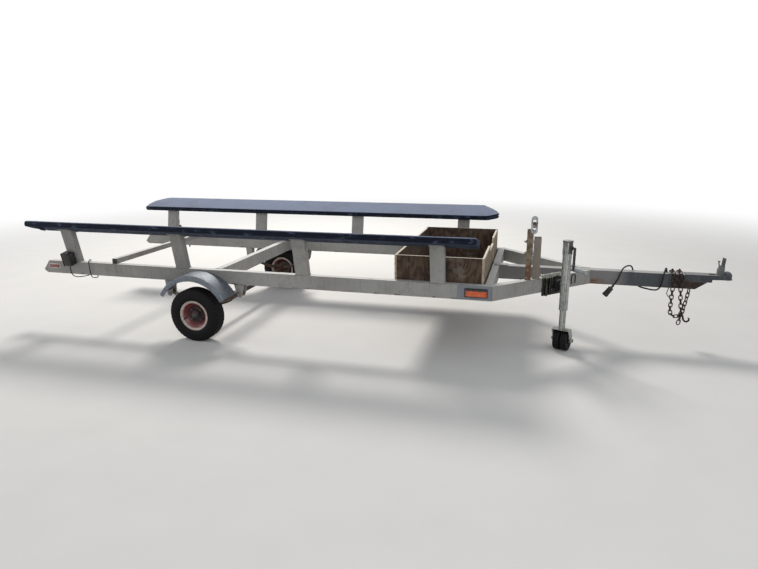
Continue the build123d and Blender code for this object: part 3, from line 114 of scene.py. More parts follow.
V_T = Vector((cos(V_ANGLE), sin(V_ANGLE), 0))
V_N = Vector((sin(V_ANGLE), -cos(V_ANGLE), 0))
UP = Vector((0, 0, 1))
SIDES = (("right", 1), ("left", -1))
move = Matrix.Translation
turned = Matrix.Rotation


def v_point(along, out, z):
    """A point by the right V rail: along its outer face from the kink, out from it, and up."""
    return Vector((KINK_X, -RAIL_OUT, z)) + V_T * along + V_N * out


def axes(origin, z_dir, x_dir=None):
    """A placing matrix with its Z along z_dir and its X near x_dir."""
    z = Vector(z_dir).normalized()
    if x_dir is None:
        x_dir = (1, 0, 0) if abs(z.x) < 0.9 else (0, 1, 0)
    y = z.cross(Vector(x_dir)).normalized()
    return move(Vector(origin)) @ Matrix((y.cross(z), y, z)).transposed().to_4x4()


def mirrored(point, hand):
    """The point itself on the right side, or its mirror image on the left."""
    return Vector((point[0], point[1] * hand, point[2]))


def circle(place, radius, height, count, start=0.0):
    """Points round a place's Z, start steps on from its X."""
    angles = [2 * pi * (k + start) / count for k in range(count)]
    return [place @ Vector((radius * cos(a), radius * sin(a), height)) for a in angles]


def new_object(name, data):
    made = bpy.data.objects.new(name, data)
    bpy.context.scene.collection.objects.link(made)
    return made


class Shape:
    """Collects the faces of one piece, which may hold many small parts."""

    def __init__(self):
        self.points = []
        self.faces = []

    def add(self, points, faces):
        base = len(self.points)
        self.points += [Vector(p) for p in points]
        self.faces += [[base + i for i in face] for face in faces]
        return self

    def rings(self, rings, closed=False):
        """Skin over rings of equal count, with a cap at each end unless the last joins the first."""
        count, total = len(rings[0]), len(rings)
        faces = []
        for i in range(total if closed else total - 1):
            here, ahead = i * count, (i + 1) % total * count
            for k in range(count):
                n = (k + 1) % count
                faces.append([here + k, here + n, ahead + n, ahead + k])
        if not closed:
            faces += [list(range(count))[::-1], [(total - 1) * count + k for k in range(count)]]
        return self.add([p for ring in rings for p in ring], faces)

    def lathe(self, place, profile, segments):
        """Profile points (radius, height) turned about the place's Z."""
        return self.rings([circle(place, radius, height, segments) for radius, height in profile])

    def tube(self, path, radius, sides=10, closed=False):
        """A round bar along a path; radius is a number or one for each point."""
        path = [Vector(p) for p in path]
        count = len(path)
        radii = [radius] * count if isinstance(radius, (int, float)) else radius
        angles = [2 * pi * k / sides for k in range(sides)]
        rings = []
        side = None
        for i, here in enumerate(path):
            before = path[i - 1] if i or closed else here
            after = path[(i + 1) % count] if i < count - 1 or closed else here
            along = (after - before).normalized()
            side = side or along.orthogonal().normalized()
            side = (side - along * side.dot(along)).normalized()
            up = along.cross(side)
            rings.append([here + (side * cos(a) + up * sin(a)) * radii[i] for a in angles])
        return self.rings(rings, closed)

    def block(self, place, size, bevel=0.001):
        """A box centred on a place, with bevelled edges."""
        mesh = bmesh.new()
        bmesh.ops.create_cube(mesh, size=1)
        for vertex in mesh.verts:
            vertex.co = Vector(a * b for a, b in zip(vertex.co, size))
        bmesh.ops.bevel(mesh, geom=mesh.edges[:], offset=bevel, segments=2, affect="EDGES", profile=0.5)
        mesh.verts.index_update()
        self.add([place @ v.co for v in mesh.verts], [[v.index for v in f.verts] for f in mesh.faces])
        mesh.free()
        return self

    def bolt(self, place, across, height, washer=0.0, stud=0.0):
        """A chamfered hexagon, on a washer or with the stud's end standing out of it."""
        if washer:
            thick = 0.0018
            self.lathe(place, [(washer / 2, 0), (washer / 2, thick), (across / 2, thick)], 20)
            place = place @ move((0, 0, thick))
        corner = across / 2 / cos(pi / 6)
        levels = ((0.9, 0.0), (1, 0.16), (1, 0.84), (0.88, 1))
        self.rings([circle(place, corner * share, height * level, 6, 0.5) for share, level in levels])
        if stud:
            r = across * 0.3
            top = height + stud
            self.lathe(place, [(r, height * 0.8), (r, top - 0.001), (r - 0.001, top)], 12)

    def weld(self, path, radius, closed=False):
        """A rippled bead laid along a path."""
        half_ripple = 0.0021
        path = [Vector(p) for p in path]
        if closed:
            path.append(path[0])
        points = []
        for start, end in zip(path, path[1:]):
            steps = max(1, round((end - start).length / half_ripple))
            points += [start.lerp(end, k / steps) for k in range(steps)]
        points.append(path[-1])
        radii = []
        for i, point in enumerate(points):
            wander = noise.noise(point * 60) * 0.25
            radii.append(radius * ((1.05 if i % 2 else 0.8) + wander))
        self.tube(points, radii, 6)

    def build(self, name, material, slot, body="frame", smooth=38):
        """Makes the piece; edges sharper than smooth, in degrees, stay sharp."""
        mesh = bpy.data.meshes.new(name)
        mesh.from_pydata([tuple(p) for p in self.points], [], self.faces)
        mesh.validate()
        fix = bmesh.new()
        fix.from_mesh(mesh)
        bmesh.ops.recalc_face_normals(fix, faces=fix.faces[:])
        fix.to_mesh(mesh)
        fix.free()
        mesh.shade_smooth()
        mesh.set_sharp_from_angle(angle=radians(smooth))
        mesh.materials.append(material)
        piece = new_object(name, mesh)
        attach(piece, body)
        return piece


# Camera at the photograph's place


def photo_camera():
    """Placed and turned by a fit to the trailer's corners in the photograph; angles in radians."""
    image_width = 758
    focal_pixels = 572.9
    turn_left, tilt_down, roll = 0.2693, 0.2603, 0.0089
    data = bpy.data.cameras.new("photo_camera")
    data.sensor_fit = "HORIZONTAL"
    data.sensor_width = 36
    data.lens = data.sensor_width * focal_pixels / image_width
    data.clip_end = 200
    camera = new_object("photo_camera", data)
    turns = turned(turn_left, 4, "Z") @ turned(pi / 2 - tilt_down, 4, "X") @ turned(-roll, 4, "Z")
    camera.matrix_world = move((1.2794, -4.4267, 1.5284)) @ turns
    bpy.context.scene.camera = camera


photo_camera()


# Materials


def colour(red, green, blue):
    """A colour written as the eye reads it, turned to the linear values that the shader wants."""
    parts = (red, green, blue)
    return tuple(((c + 0.055) / 1.055) ** 2.4 if c > 0.04045 else c / 12.92 for c in parts) + (1,)


class Nodes:
    """Short calls for the nodes of one shader tree."""

    def __init__(self, tree):
        self.tree = tree

    def put(self, node, socket, value):
        if isinstance(value, bpy.types.NodeSocket):
            self.tree.links.new(value, node.inputs[socket])
        elif value is not None:
            node.inputs[socket].default_value = value

    def node(self, kind, inputs=(), **settings):
        """A new node; inputs gives each socket a value or another node's output."""
        made = self.tree.nodes.new("ShaderNode" + kind)
        for key, value in settings.items():
            setattr(made, key, value)
        for socket, value in dict(inputs).items():
            self.put(made, socket, value)
        return made

    def maths(self, operation, first, second=0.0):
        return self.node("Math", {0: first, 1: second}, operation=operation).outputs[0]

    def plus(self, first, second):
        return self.maths("ADD", first, second)

    def minus(self, first, second):
        return self.maths("SUBTRACT", first, second)

    def both(self, *shares):
        return reduce(lambda first, second: self.maths("MULTIPLY", first, second), shares)

    def either(self, *shares):
        return reduce(lambda first, second: self.maths("MAXIMUM", first, second), shares)

    def length(self, first, second):
        return self.maths("SQRT", self.plus(self.both(first, first), self.both(second, second)))

    def seen(self):
        """1 for rays from the camera, from a reflection or through a lens."""
        rays = self.node("LightPath").outputs
        return self.either(*[rays[f"Is {kind} Ray"] for kind in ("Camera", "Glossy", "Transmission")])


class Finish(Nodes):
    """One procedural material. Its base is laid on in tints, which are colours as the eye reads them."""

    def __init__(self, name, roughness=0.6, metallic=0.0, **sockets):
        self.material = bpy.data.materials.new(name)
        self.material.use_nodes = True
        super().__init__(self.material.node_tree)
        self.shader = self.tree.nodes["Principled BSDF"]
        for socket, value in dict(Roughness=roughness, Metallic=metallic, **sockets).items():
            self.put(self.shader, socket.replace("_", " "), value)
        self.place = self.node("TexCoord").outputs["Object"]
        self.normal = self.node("NewGeometry").outputs["Normal"]
        self.at, self.facing = (self.node("SeparateXYZ", {0: v}).outputs for v in (self.place, self.normal))

    def noise(self, scale, detail=3.0, rough=0.55, distortion=0.0, stretch=None):
        place = self.place
        if stretch:
            place = self.node("Mapping", {"Vector": place, "Scale": stretch}).outputs["Vector"]
        inputs = {"Vector": place, "Scale": scale, "Detail": detail, "Roughness": rough}
        return self.node("TexNoise", dict(inputs, Distortion=distortion)).outputs["Fac"]

    def spots(self, low, high, *grain, **stretch):
        """1 where noise of this grain stands above high, 0 where it lies below low."""
        return self.remap(self.noise(*grain, **stretch), low, high)

    def cells(self, scale, output):
        return self.node("TexVoronoi", {"Vector": self.place, "Scale": scale}).outputs[output]

    def remap(self, value, low, high, to_low=0.0, to_high=1.0):
        inputs = {"Value": value, "From Min": low, "From Max": high, "To Min": to_low, "To Max": to_high}
        return self.node("MapRange", inputs, interpolation_type="SMOOTHSTEP").outputs["Result"]

    def sine(self, value, low, high):
        """Bands with soft edges."""
        return self.remap(self.maths("SINE", value), low, high)

    def mix(self, share, first, second):
        """The second colour laid over the first; each is a tint or another node's output."""
        first, second = (colour(*tint) if isinstance(tint, tuple) else tint for tint in (first, second))
        return self.node("Mix", {0: share, 6: first, 7: second}, data_type="RGBA").outputs[2]

    def over(self, tint, *shares):
        """Lays a colour over the base where all the shares say so."""
        self.base = self.mix(self.both(*shares), self.base, tint)

    def upward(self):
        """1 on faces that look up, 0 on sides and undersides."""
        return self.remap(self.facing["Z"], 0.55, 0.9)

    def sideways(self, axis, low, high):
        """1 on faces that look along an axis, either way."""
        return self.remap(self.maths("ABSOLUTE", self.facing[axis]), low, high)

    def edges(self, radius, low=0.02, high=0.2):
        """1 along sharp edges, from a normal that is averaged round each point."""
        soft = self.node("Bevel", {"Radius": radius}, samples=4).outputs["Normal"]
        dot = self.node("VectorMath", {0: soft, 1: self.normal}, operation="DOT_PRODUCT").outputs["Value"]
        return self.remap(self.minus(1.0, dot), low, high)

    def bump(self, height, distance, strength):
        inputs = {"Height": height, "Distance": distance, "Strength": strength}
        self.put(self.shader, "Normal", self.node("Bump", inputs).outputs["Normal"])

    def finish(self, roughness=None, metallic=None):
        for socket, value in (("Base Color", self.base), ("Roughness", roughness), ("Metallic", metallic)):
            self.put(self.shader, socket, value)
        return self.material


RUST = (0.40, 0.21, 0.11)
DARK_RUST = (0.20, 0.11, 0.07)


def frame_paint(name, first=(0.53, 0.525, 0.51), second=(0.62, 0.615, 0.60), rust_more=0.0, nose_rust_and_shade=False,
                top_chalk_and_highlight=0.85):
    """Grey paint, chalked and with a painted highlight on its tops: run marks down its sides, rust at its
    edges, a painted shadow on the rails' sides at the kink.
    """
    f = Finish(name, roughness=0.62)
    x, z = f.at["X"], f.at["Z"]
    top = f.upward()
    f.base = f.mix(f.spots(0.3, 0.7, 2.2, 5), first, second)
    # Paler tops: partly chalked paint, partly a painted highlight where the light falls on them.
    f.over((0.80, 0.80, 0.785), top, top_chalk_and_highlight)
    # Painted shadow: a darker blue-grey stretch on the rails' sides at the kink.
    kink_shadow = f.both(f.remap(x, KINK_X - 0.235, KINK_X - 0.228), f.remap(x, KINK_X + 0.018, KINK_X + 0.012))
    f.over((0.46, 0.49, 0.53), kink_shadow, f.sideways("Y", 0.8, 0.95), 0.8)
    f.over((0.38, 0.36, 0.33), f.spots(0.56, 0.70, 1, 3, stretch=(95, 95, 2.5)), f.remap(top, 0, 1, 0.42, 0))
    f.over((0.42, 0.39, 0.35), f.spots(0.50, 0.72, 14, 6, 0.7), 0.35)
    edge_rust = f.both(f.edges(0.006), f.spots(0.53 - rust_more, 0.62 - rust_more, 9, 6, 0.7))
    specks = f.both(f.spots(0.63, 0.69, 110, 4, 0.6), f.spots(0.5, 0.62, 6, 2))
    low_patches = f.spots(0.54 - rust_more, 0.66 - rust_more, 13, 5, 0.65)
    rust = f.either(edge_rust, specks, f.both(f.remap(z, RAIL_BOTTOM + 0.018, RAIL_BOTTOM), low_patches))
    scale = f.mix(f.noise(60, 4), DARK_RUST, RUST)
    if nose_rust_and_shade:
        # Painted shadow edge along the tongue: behind this stretch its sides are lighter grey, as in light,
        # and the dark slate nearer the nose stands for its shade.
        f.over((0.50, 0.49, 0.485), f.remap(x, NOSE_X - 0.66, NOSE_X - 0.78), f.remap(top, 0, 1, 0.85, 0))
        nose = f.remap(f.plus(x, f.both(f.noise(9, 4), 0.16)), NOSE_X - 0.34, NOSE_X - 0.24)
        low = f.remap(f.plus(z, f.both(f.noise(16, 4), 0.03)), DECK_Z - 0.010, DECK_Z - 0.040)
        rust = f.either(rust, f.both(nose, low, 0.85))
        scale = f.mix(f.spots(0.4, 0.62, 45, 6, 0.7), (0.125, 0.09, 0.075), (0.27, 0.185, 0.125))
    f.over(scale, rust)
    if nose_rust_and_shade:
        low = f.remap(z, DECK_Z - 0.050, DECK_Z - 0.078)
        root = f.both(f.remap(x, NOSE_X - 0.80, NOSE_X - 0.92), f.remap(x, NOSE_X - 1.16, NOSE_X - 1.12), low)
        root_scale = f.mix(f.noise(70, 4), (0.24, 0.155, 0.10), (0.52, 0.35, 0.20))
        f.over(root_scale, root, f.spots(0.36, 0.52, 24, 5, 0.7))
    f.bump(f.minus(f.noise(260, 3), rust), 0.0006, 0.5)
    return f.finish(f.remap(rust, 0, 1, 0.6, 0.9))


def zinc(name, warm=0.0, rust_low=0.60, tone=1.0, brown=0.4):
    """Dull hot-dip zinc: spangle, white bloom and rust that starts at the edges."""
    f = Finish(name, metallic=0.3)
    spangle = f.node("SeparateXYZ", {0: f.cells(70, "Color")}).outputs["X"]
    dull = (0.53 * tone, 0.545 * tone, (0.56 - warm) * tone)
    f.base = f.mix(spangle, dull, (0.66 * tone, 0.68 * tone, (0.70 - warm) * tone))
    bloom = f.spots(0.48, 0.7, 7, 6, 0.65)
    f.over((0.74 * tone, 0.74 * tone, 0.72 * tone), bloom, 0.55)
    f.over((0.43, 0.39, 0.33), f.spots(0.56, 0.7, 1, 4, stretch=(60, 60, 5)), brown)
    edge = f.both(f.edges(0.004), f.spots(0.5, 0.6, 15, 5))
    rust = f.either(f.spots(rust_low, rust_low + 0.07, 22, 6, 0.7), edge)
    f.over(f.mix(f.noise(80, 4), DARK_RUST, (0.47, 0.30, 0.17)), rust)
    f.bump(f.noise(180, 3), 0.0005, 0.35)
    if name == "fender_zinc":
        f.over((0.37, 0.44, 0.51), 0.3)
        f.over((0.24, 0.15, 0.13), inside_of_fender(f), 0.85)
    if name == "jack_zinc":
        runs = f.noise(1, 3, stretch=(150, 150, 3.5))
        f.over((0.90, 0.89, 0.85), f.remap(runs, 0.56, 0.66), 0.75)
        f.over((0.36, 0.30, 0.235), f.remap(runs, 0.45, 0.37), 0.7)
        f.over((0.13, 0.135, 0.135), jack_dark_and_shaded(f))
    return f.finish(f.remap(f.either(bloom, rust), 0, 1, 0.52, 0.8), f.remap(rust, 0, 1, 0.3, 0.0))


def from_axle(f):
    """How far a point lies ahead of the axle, and above it."""
    return f.minus(f.at["X"], AXLE_X), f.minus(f.at["Z"], AXLE_Z)


def inside_of_fender(f):
    """1 where a fender's skin looks towards the axle."""
    dx, dz = from_axle(f)
    return f.remap(f.plus(f.both(dx, f.facing["X"]), f.both(dz, f.facing["Z"])), -0.10, -0.20)


def jack_dark_and_shaded(f):
    """1 on the pivot's drum beside the jack's tube, and nearly so on the head's cap and on its outward face,
    whose darkening is painted shade.
    """
    axis = v_point(JACK_ALONG_V, JACK_STANDOFF, 0)
    dx, dy, z = f.minus(f.at["X"], axis.x), f.minus(f.at["Y"], axis.y), f.at["Z"]
    drum = f.both(f.remap(f.length(dx, dy), 0.0306, 0.0312), f.remap(z, 0.56, 0.55), f.remap(z, 0.38, 0.39))
    toward_rail = f.plus(f.both(dx, -V_N.x), f.both(dy, -V_N.y))
    # Painted shade on the head's outward side.
    face = f.both(f.remap(toward_rail, -0.0255, -0.0275), f.remap(z, JACK_TOP - 0.092, JACK_TOP - 0.086))
    rim = f.remap(z, JACK_TOP - 0.0005, JACK_TOP - 0.0015)
    cap = f.both(f.remap(z, JACK_TOP - 0.009, JACK_TOP - 0.007), rim)
    return f.either(drum, f.both(f.either(face, cap), 0.85))


def rusty_steel():
    """Bare square tube, brown all over with darker scale and a few paler flakes."""
    f = Finish("rusty_steel", roughness=0.9)
    f.base = f.mix(f.spots(0.35, 0.65, 26, 6, 0.7), (0.34, 0.285, 0.225), (0.53, 0.48, 0.40))
    foot = f.remap(f.at["Z"], DECK_Z + 0.16, DECK_Z + 0.04)
    f.over((0.38, 0.225, 0.13), f.either(f.both(f.spots(0.52, 0.68, 7, 4), 0.7), f.both(foot, 0.8)))
    f.over((0.60, 0.57, 0.52), f.spots(0.62, 0.68, 48, 5, 0.6), 0.7)
    f.bump(f.noise(210, 5, 0.7), 0.001, 0.7)
    return f.finish()


def chain_steel():
    """Old plated chain: brown rust with darker joints."""
    f = Finish("chain_steel", roughness=0.8, metallic=0.2)
    f.base = f.mix(f.spots(0.38, 0.62, 70, 5, 0.7), (0.085, 0.065, 0.055), (0.235, 0.15, 0.105))
    f.over((0.44, 0.31, 0.23), f.spots(0.58, 0.7, 200, 3), 0.5)
    f.bump(f.noise(420, 4, 0.7), 0.0007, 0.7)
    return f.finish()


def dark_steel():
    """Blackened cast steel, worn bright along its edges, with bright tops on the clamp's bolts."""
    f = Finish("dark_steel", roughness=0.5, metallic=0.45)
    z = f.at["Z"]
    f.base = f.mix(f.noise(18, 5), (0.075, 0.08, 0.08), (0.15, 0.155, 0.15))
    f.over((0.60, 0.585, 0.54), f.edges(0.005, 0.01, 0.12), f.spots(0.32, 0.55, 30, 4))
    f.over((0.66, 0.66, 0.63), f.remap(z, DECK_Z + 0.0005, DECK_Z + 0.002), f.remap(z, 0.57, 0.56))
    rust = f.spots(0.6, 0.68, 24, 6, 0.7)
    f.over(RUST, rust, 0.8)
    f.bump(f.noise(160, 4, 0.6), 0.0008, 0.5)
    return f.finish(f.remap(rust, 0, 1, 0.45, 0.85))


def axle_steel():
    """Dark painted spring and axle steel with road rust."""
    f = Finish("axle_steel", roughness=0.75, metallic=0.15)
    f.base = f.mix(f.spots(0.42, 0.62, 12, 6, 0.65), (0.17, 0.16, 0.155), (0.33, 0.20, 0.13))
    f.over((0.47, 0.43, 0.38), f.upward(), f.spots(0.35, 0.6, 30, 4), 0.6)
    f.bump(f.noise(190, 4, 0.65), 0.0009, 0.6)
    return f.finish()


def tyre_rubber():
    """Black rubber with patches of grey dust."""
    f = Finish("tyre_rubber", roughness=0.78, Specular_IOR_Level=0.2)
    # Black rubber, darkened further as painted shade.
    f.base = f.mix(f.noise(9, 5), (0.03, 0.032, 0.038), (0.06, 0.061, 0.065))
    dust = f.spots(0.52, 0.75, 34, 6, 0.7)
    f.over((0.21, 0.20, 0.185), dust, 0.4)
    f.bump(f.noise(330, 3, 0.6), 0.0004, 0.5)
    return f.finish(f.remap(dust, 0, 1, 0.7, 0.92))


def roller_rubber():
    """Grey-black rubber, scuffed at its edges."""
    f = Finish("roller_rubber", roughness=0.65)
    f.base = f.mix(f.noise(25, 5), (0.10, 0.10, 0.10), (0.17, 0.165, 0.16))
    f.over((0.38, 0.37, 0.35), f.edges(0.004), f.spots(0.45, 0.65, 50, 4), 0.7)
    f.bump(f.noise(300, 3), 0.0004, 0.5)
    return f.finish()


def wheel_red():
    """Red enamel with a cream flange, chipped, and darker towards the hub with painted shade in the dish."""
    f = Finish("wheel_red", roughness=0.4, Coat_Weight=0.3, Coat_Roughness=0.25)
    radius = f.length(*from_axle(f))
    f.base = f.mix(f.noise(30, 5), (0.36, 0.03, 0.06), (0.52, 0.06, 0.085))
    # Painted shade: the dish darkens in patches towards the hub.
    dish_shade = f.both(f.remap(radius, 0.098, 0.056), f.spots(0.16, 0.46, 26, 6, 0.7))
    f.over((0.06, 0.04, 0.042), dish_shade, 0.92)
    cream = f.mix(f.spots(0.45, 0.65, 45, 6, 0.7), (0.76, 0.70, 0.67), (0.62, 0.54, 0.50))
    f.over(cream, f.remap(radius, RIM_SEAT_R - 0.004, RIM_SEAT_R - 0.0025))
    chips = f.either(f.spots(0.66, 0.69, 75, 5, 0.7), f.both(f.edges(0.003), f.spots(0.55, 0.62, 60, 4)))
    f.over(RUST, chips)
    f.bump(f.minus(f.noise(120, 3), chips), 0.0004, 0.4)
    return f.finish(f.remap(f.either(chips, dish_shade), 0, 1, 0.38, 0.8))


def carpet():
    """Marine carpet: sun-paled blue-grey tops lightened further as painted light, dark blue sides darkened
    further as painted shade, with pale scuffs and lint.
    """
    f = Finish("bunk_carpet", roughness=0.95, Specular_IOR_Level=0.15, Sheen_Weight=0.22, Sheen_Roughness=0.5,
               Sheen_Tint=colour(0.62, 0.68, 0.80))
    fibre = f.noise(520, 3, 0.7)
    # The side colour: dark blue dye, darkened further as painted shade.
    navy_in_shade = f.mix(fibre, (0.035, 0.045, 0.075), (0.105, 0.125, 0.185))
    faded_in_light = f.mix(fibre, (0.38, 0.415, 0.49), (0.565, 0.60, 0.675))
    worn = f.spots(0.50, 0.66, 1, 5, 0.65, 1.2, stretch=(8, 26, 26))
    lean = f.plus(f.both(f.at["X"], 52.0), f.both(f.at["Z"], 40.0))
    bands = f.sine(f.plus(lean, f.both(f.noise(6, 3), 5.0)), 0.1, 0.9)
    navy_in_shade = f.mix(f.both(worn, f.remap(bands, 0, 1, 0.35, 1.0), 0.7), navy_in_shade, (0.31, 0.36, 0.46))
    faded_in_light = f.mix(f.both(f.spots(0.45, 0.7, 5, 5), 0.5), faded_in_light, (0.44, 0.45, 0.49))
    # The split between tops and sides is partly real sun fading, partly painted light and shade.
    f.base = f.mix(f.remap(f.facing["Z"], 0.42, 0.80), navy_in_shade, faded_in_light)
    lint = f.remap(f.cells(230, "Distance"), 0.10, 0.06)
    f.over((0.68, 0.68, 0.66), lint, f.spots(0.5, 0.65, 40, 2), 0.75)
    f.bump(f.plus(f.noise(620, 2, 0.8), f.both(f.noise(60, 4), 0.8)), 0.0022, 0.75)
    return f.finish()


def plywood(name, thickness_axis, grain_axis):
    """Weathered ply: dark brown faces with wandering grain and stains, and pale layered edges."""
    layer = 0.005
    f = Finish(name, roughness=0.85)
    stretch = [2.6 if axis == grain_axis else 9 for axis in "XYZ"]
    bands = f.sine(f.both(f.noise(1.1, 2, 0.45, 1.1, stretch), 46.0), -0.8, 0.5)
    fine = f.noise(9, 5, 0.7, stretch=[s * 4.5 for s in stretch])
    f.base = f.mix(f.both(bands, 0.7), (0.225, 0.165, 0.125), (0.40, 0.32, 0.25))
    f.over((0.24, 0.18, 0.135), f.remap(fine, 0.42, 0.62), 0.45)
    f.over((0.125, 0.095, 0.08), f.spots(0.50, 0.64, 5.5, 6, 0.7, 0.5), 0.8)
    f.over((0.52, 0.48, 0.43), f.spots(0.55, 0.7, 9, 5, 0.6), 0.45)
    layers = f.sine(f.both(f.at[thickness_axis], 2 * pi / layer), -0.3, 0.3)
    end = f.mix(layers, (0.60, 0.52, 0.42), (0.86, 0.81, 0.72))
    end = f.mix(f.both(f.spots(0.45, 0.65, 60, 4), 0.5), end, (0.40, 0.34, 0.28))
    end = f.mix(f.both(f.upward(), 0.7), end, (0.90, 0.87, 0.80))
    f.base = f.mix(f.sideways(thickness_axis, 0.55, 0.75), end, f.base)
    if name == "plywood_front":
        # The front panel's forward face is paler.
        pale_front_face = f.mix(f.remap(fine, 0.4, 0.6), (0.45, 0.40, 0.335), (0.62, 0.565, 0.485))
        f.over(pale_front_face, f.remap(f.facing["X"], 0.6, 0.8), 0.85)
    f.bump(f.plus(fine, f.both(bands, 0.35)), 0.0012, 0.6)
    return f.finish()


def black_plastic():
    f = Finish("black_plastic", roughness=0.5)
    f.base = f.mix(f.noise(22, 5), (0.05, 0.05, 0.055), (0.11, 0.11, 0.112))
    dust = f.both(f.either(f.upward(), 0.3), f.spots(0.5, 0.72, 45, 5, 0.7))
    f.over((0.42, 0.40, 0.37), dust, 0.45)
    f.bump(f.noise(420, 2), 0.0003, 0.5)
    return f.finish(f.remap(dust, 0, 1, 0.42, 0.85))


def lens(name, deep, bright, dull=0.35):
    """Ribbed moulded lens, dulled by the weather."""
    rib = 0.004
    f = Finish(name, roughness=0.25, Coat_Weight=0.6, Coat_Roughness=0.15, Transmission_Weight=0.12)
    prisms = f.maths("SINE", f.both(f.at["Z"], 2 * pi / rib))
    f.base = f.mix(f.remap(prisms, -1, 1), deep, bright)
    if name == "amber_lens":
        ragged = f.plus(f.at["Z"], f.both(f.noise(45, 4), 0.012))
        f.over((0.20, 0.12, 0.08), f.remap(ragged, 0.494, 0.4965))
    haze = f.spots(0.5, 0.72, 30, 5, 0.7)
    f.over((0.62, 0.50, 0.44), haze, dull)
    f.bump(prisms, 0.0006, 0.6)
    return f.finish(f.remap(haze, 0, 1, 0.22, 0.6))


def cable_rubber():
    f = Finish("cable_rubber", roughness=0.48, Specular_IOR_Level=0.3)
    f.base = f.mix(f.noise(40, 4), (0.03, 0.03, 0.034), (0.075, 0.072, 0.072))
    f.bump(f.noise(500, 2), 0.0003, 0.4)
    return f.finish(f.remap(f.noise(18, 3), 0.3, 0.7, 0.4, 0.65))


def twine_fibre():
    f = Finish("twine_fibre", roughness=0.9)
    inputs = {"Vector": f.place, "Scale": 90, "Distortion": 2.5, "Detail": 2}
    strands = f.node("TexWave", inputs, bands_direction="DIAGONAL").outputs["Fac"]
    f.base = f.mix(strands, (0.66, 0.60, 0.49), (0.92, 0.89, 0.80))
    f.over((0.50, 0.44, 0.35), f.spots(0.5, 0.7, 70, 4), 0.3)
    f.bump(strands, 0.0012, 0.8)
    return f.finish()


def bright_steel(name, first, second):
    """Plated bolts and nuts with a little rust in their corners."""
    f = Finish(name, roughness=0.45, metallic=0.5)
    f.base = f.mix(f.noise(60, 4), first, second)
    rust = f.spots(0.54, 0.64, 90, 6, 0.7)
    f.over((0.42, 0.27, 0.16), rust)
    f.bump(f.noise(300, 3), 0.0004, 0.4)
    return f.finish(f.remap(rust, 0, 1, 0.45, 0.85), f.remap(rust, 0, 1, 0.5, 0.1))


def pale_plastic():
    f = Finish("pale_plastic", roughness=0.5)
    f.base = f.mix(f.spots(0.4, 0.7, 40, 4), (0.93, 0.92, 0.89), (0.78, 0.75, 0.71))
    return f.finish()


# The coupler's dark slate is its paint, darkened further as painted shade.
COUPLER_PAINT = frame_paint("coupler_paint", (0.165, 0.185, 0.215), (0.23, 0.255, 0.29), 0.03, False, 0.25)
WELD = frame_paint("weld_beads", (0.45, 0.435, 0.41), (0.53, 0.52, 0.50), 0.08)
ZINC = zinc("galvanised")
LATCH_ZINC = zinc("latch_zinc", rust_low=0.56, tone=0.55)
CHAIN = chain_steel()
DARK = dark_steel()
TYRE = tyre_rubber()
RUBBER = roller_rubber()
CARPET = carpet()
PLASTIC = black_plastic()
TAIL_LENS = lens("tail_lens", (0.085, 0.02, 0.028), (0.20, 0.045, 0.05), dull=0.12)
RED_LENS = lens("red_lens", (0.30, 0.02, 0.03), (0.60, 0.06, 0.07))
CABLE = cable_rubber()
BOLT = bright_steel("bright_steel", (0.50, 0.495, 0.475), (0.64, 0.635, 0.62))
KEEPER = bright_steel("keeper_wire", (0.20, 0.16, 0.10), (0.36, 0.30, 0.19))
BRASS = bright_steel("brass_pins", (0.55, 0.45, 0.26), (0.70, 0.60, 0.36))
PALE_PLASTIC = pale_plastic()
BOARD = plywood("bare_board", "Z", "X")

NODE_FINISH = {
    frame_paint("frame_paint"): "rail_right rail_left v_rail_right v_rail_left crossmember_main "
    "crossmember_front crossbar_rear bunk_posts_right bunk_posts_left tail_light_plates box_supports "
    "spring_hangers",
    frame_paint("upright_paint", (0.47, 0.435, 0.39), (0.57, 0.54, 0.50), 0.07): "open_upright",
    # The tongue's dark slate is its paint, darkened further as painted shade.
    frame_paint("tongue_paint", (0.175, 0.195, 0.215), (0.245, 0.262, 0.28), 0.05, True, 0.55): "tongue",
    COUPLER_PAINT: "coupler",
    ZINC: "bow_roller_cheeks",
    zinc("fender_zinc", warm=-0.01, tone=0.76): "fender_right fender_left",
    # The hubs' zinc is a darker copy of it, darkened as painted shade in the wheels' dishes.
    zinc("hub_zinc", rust_low=0.52, tone=0.42): "hub_right hub_left",
    LATCH_ZINC: "coupler_latch",
    zinc("jack_zinc", warm=0.035, rust_low=0.585, tone=0.99, brown=0.9): "jack_outer_tube "
    "jack_gearbox jack_inner_tube jack_fork",
    rusty_steel(): "bow_stop_post",
    DARK: "jack_clamp jack_crank jack_pull_pin",
    axle_steel(): "axle_beam leaf_springs axle_u_bolts",
    CHAIN: "safety_chains",
    TYRE: "tyre_right tyre_left jack_wheels",
    RUBBER: "bow_roller",
    wheel_red(): "wheel_rim_right wheel_rim_left",
    CARPET: "bunk_right bunk_left",
    plywood("plywood_sides", "Y", "Z"): "box_panel_right box_panel_left",
    plywood("plywood_ends", "X", "Z"): "box_panel_rear",
    plywood("plywood_front", "X", "Y"): "box_panel_front",
    plywood("plywood_floor", "Z", "Y"): "box_floor",
    PLASTIC: "tail_lights crossbar_plugs wiring_plug",
    lens("amber_lens", (0.80, 0.27, 0.02), (0.97, 0.42, 0.04)): "side_markers",
    CABLE: "wiring_lead tail_light_wires",
    twine_fibre(): "box_twine",
}
# Bevel widths of the frame's tubes, of plates and small tubes, and of boards
NODE_BEVEL = {
    0.005: "rail_right rail_left v_rail_right v_rail_left crossmember_main crossmember_front tongue",
    0.0018: "crossbar_rear open_upright bow_stop_post axle_beam spring_hangers jack_fork coupler_latch",
    0.0012: "box_panel_right box_panel_left box_panel_rear box_panel_front box_floor",
}


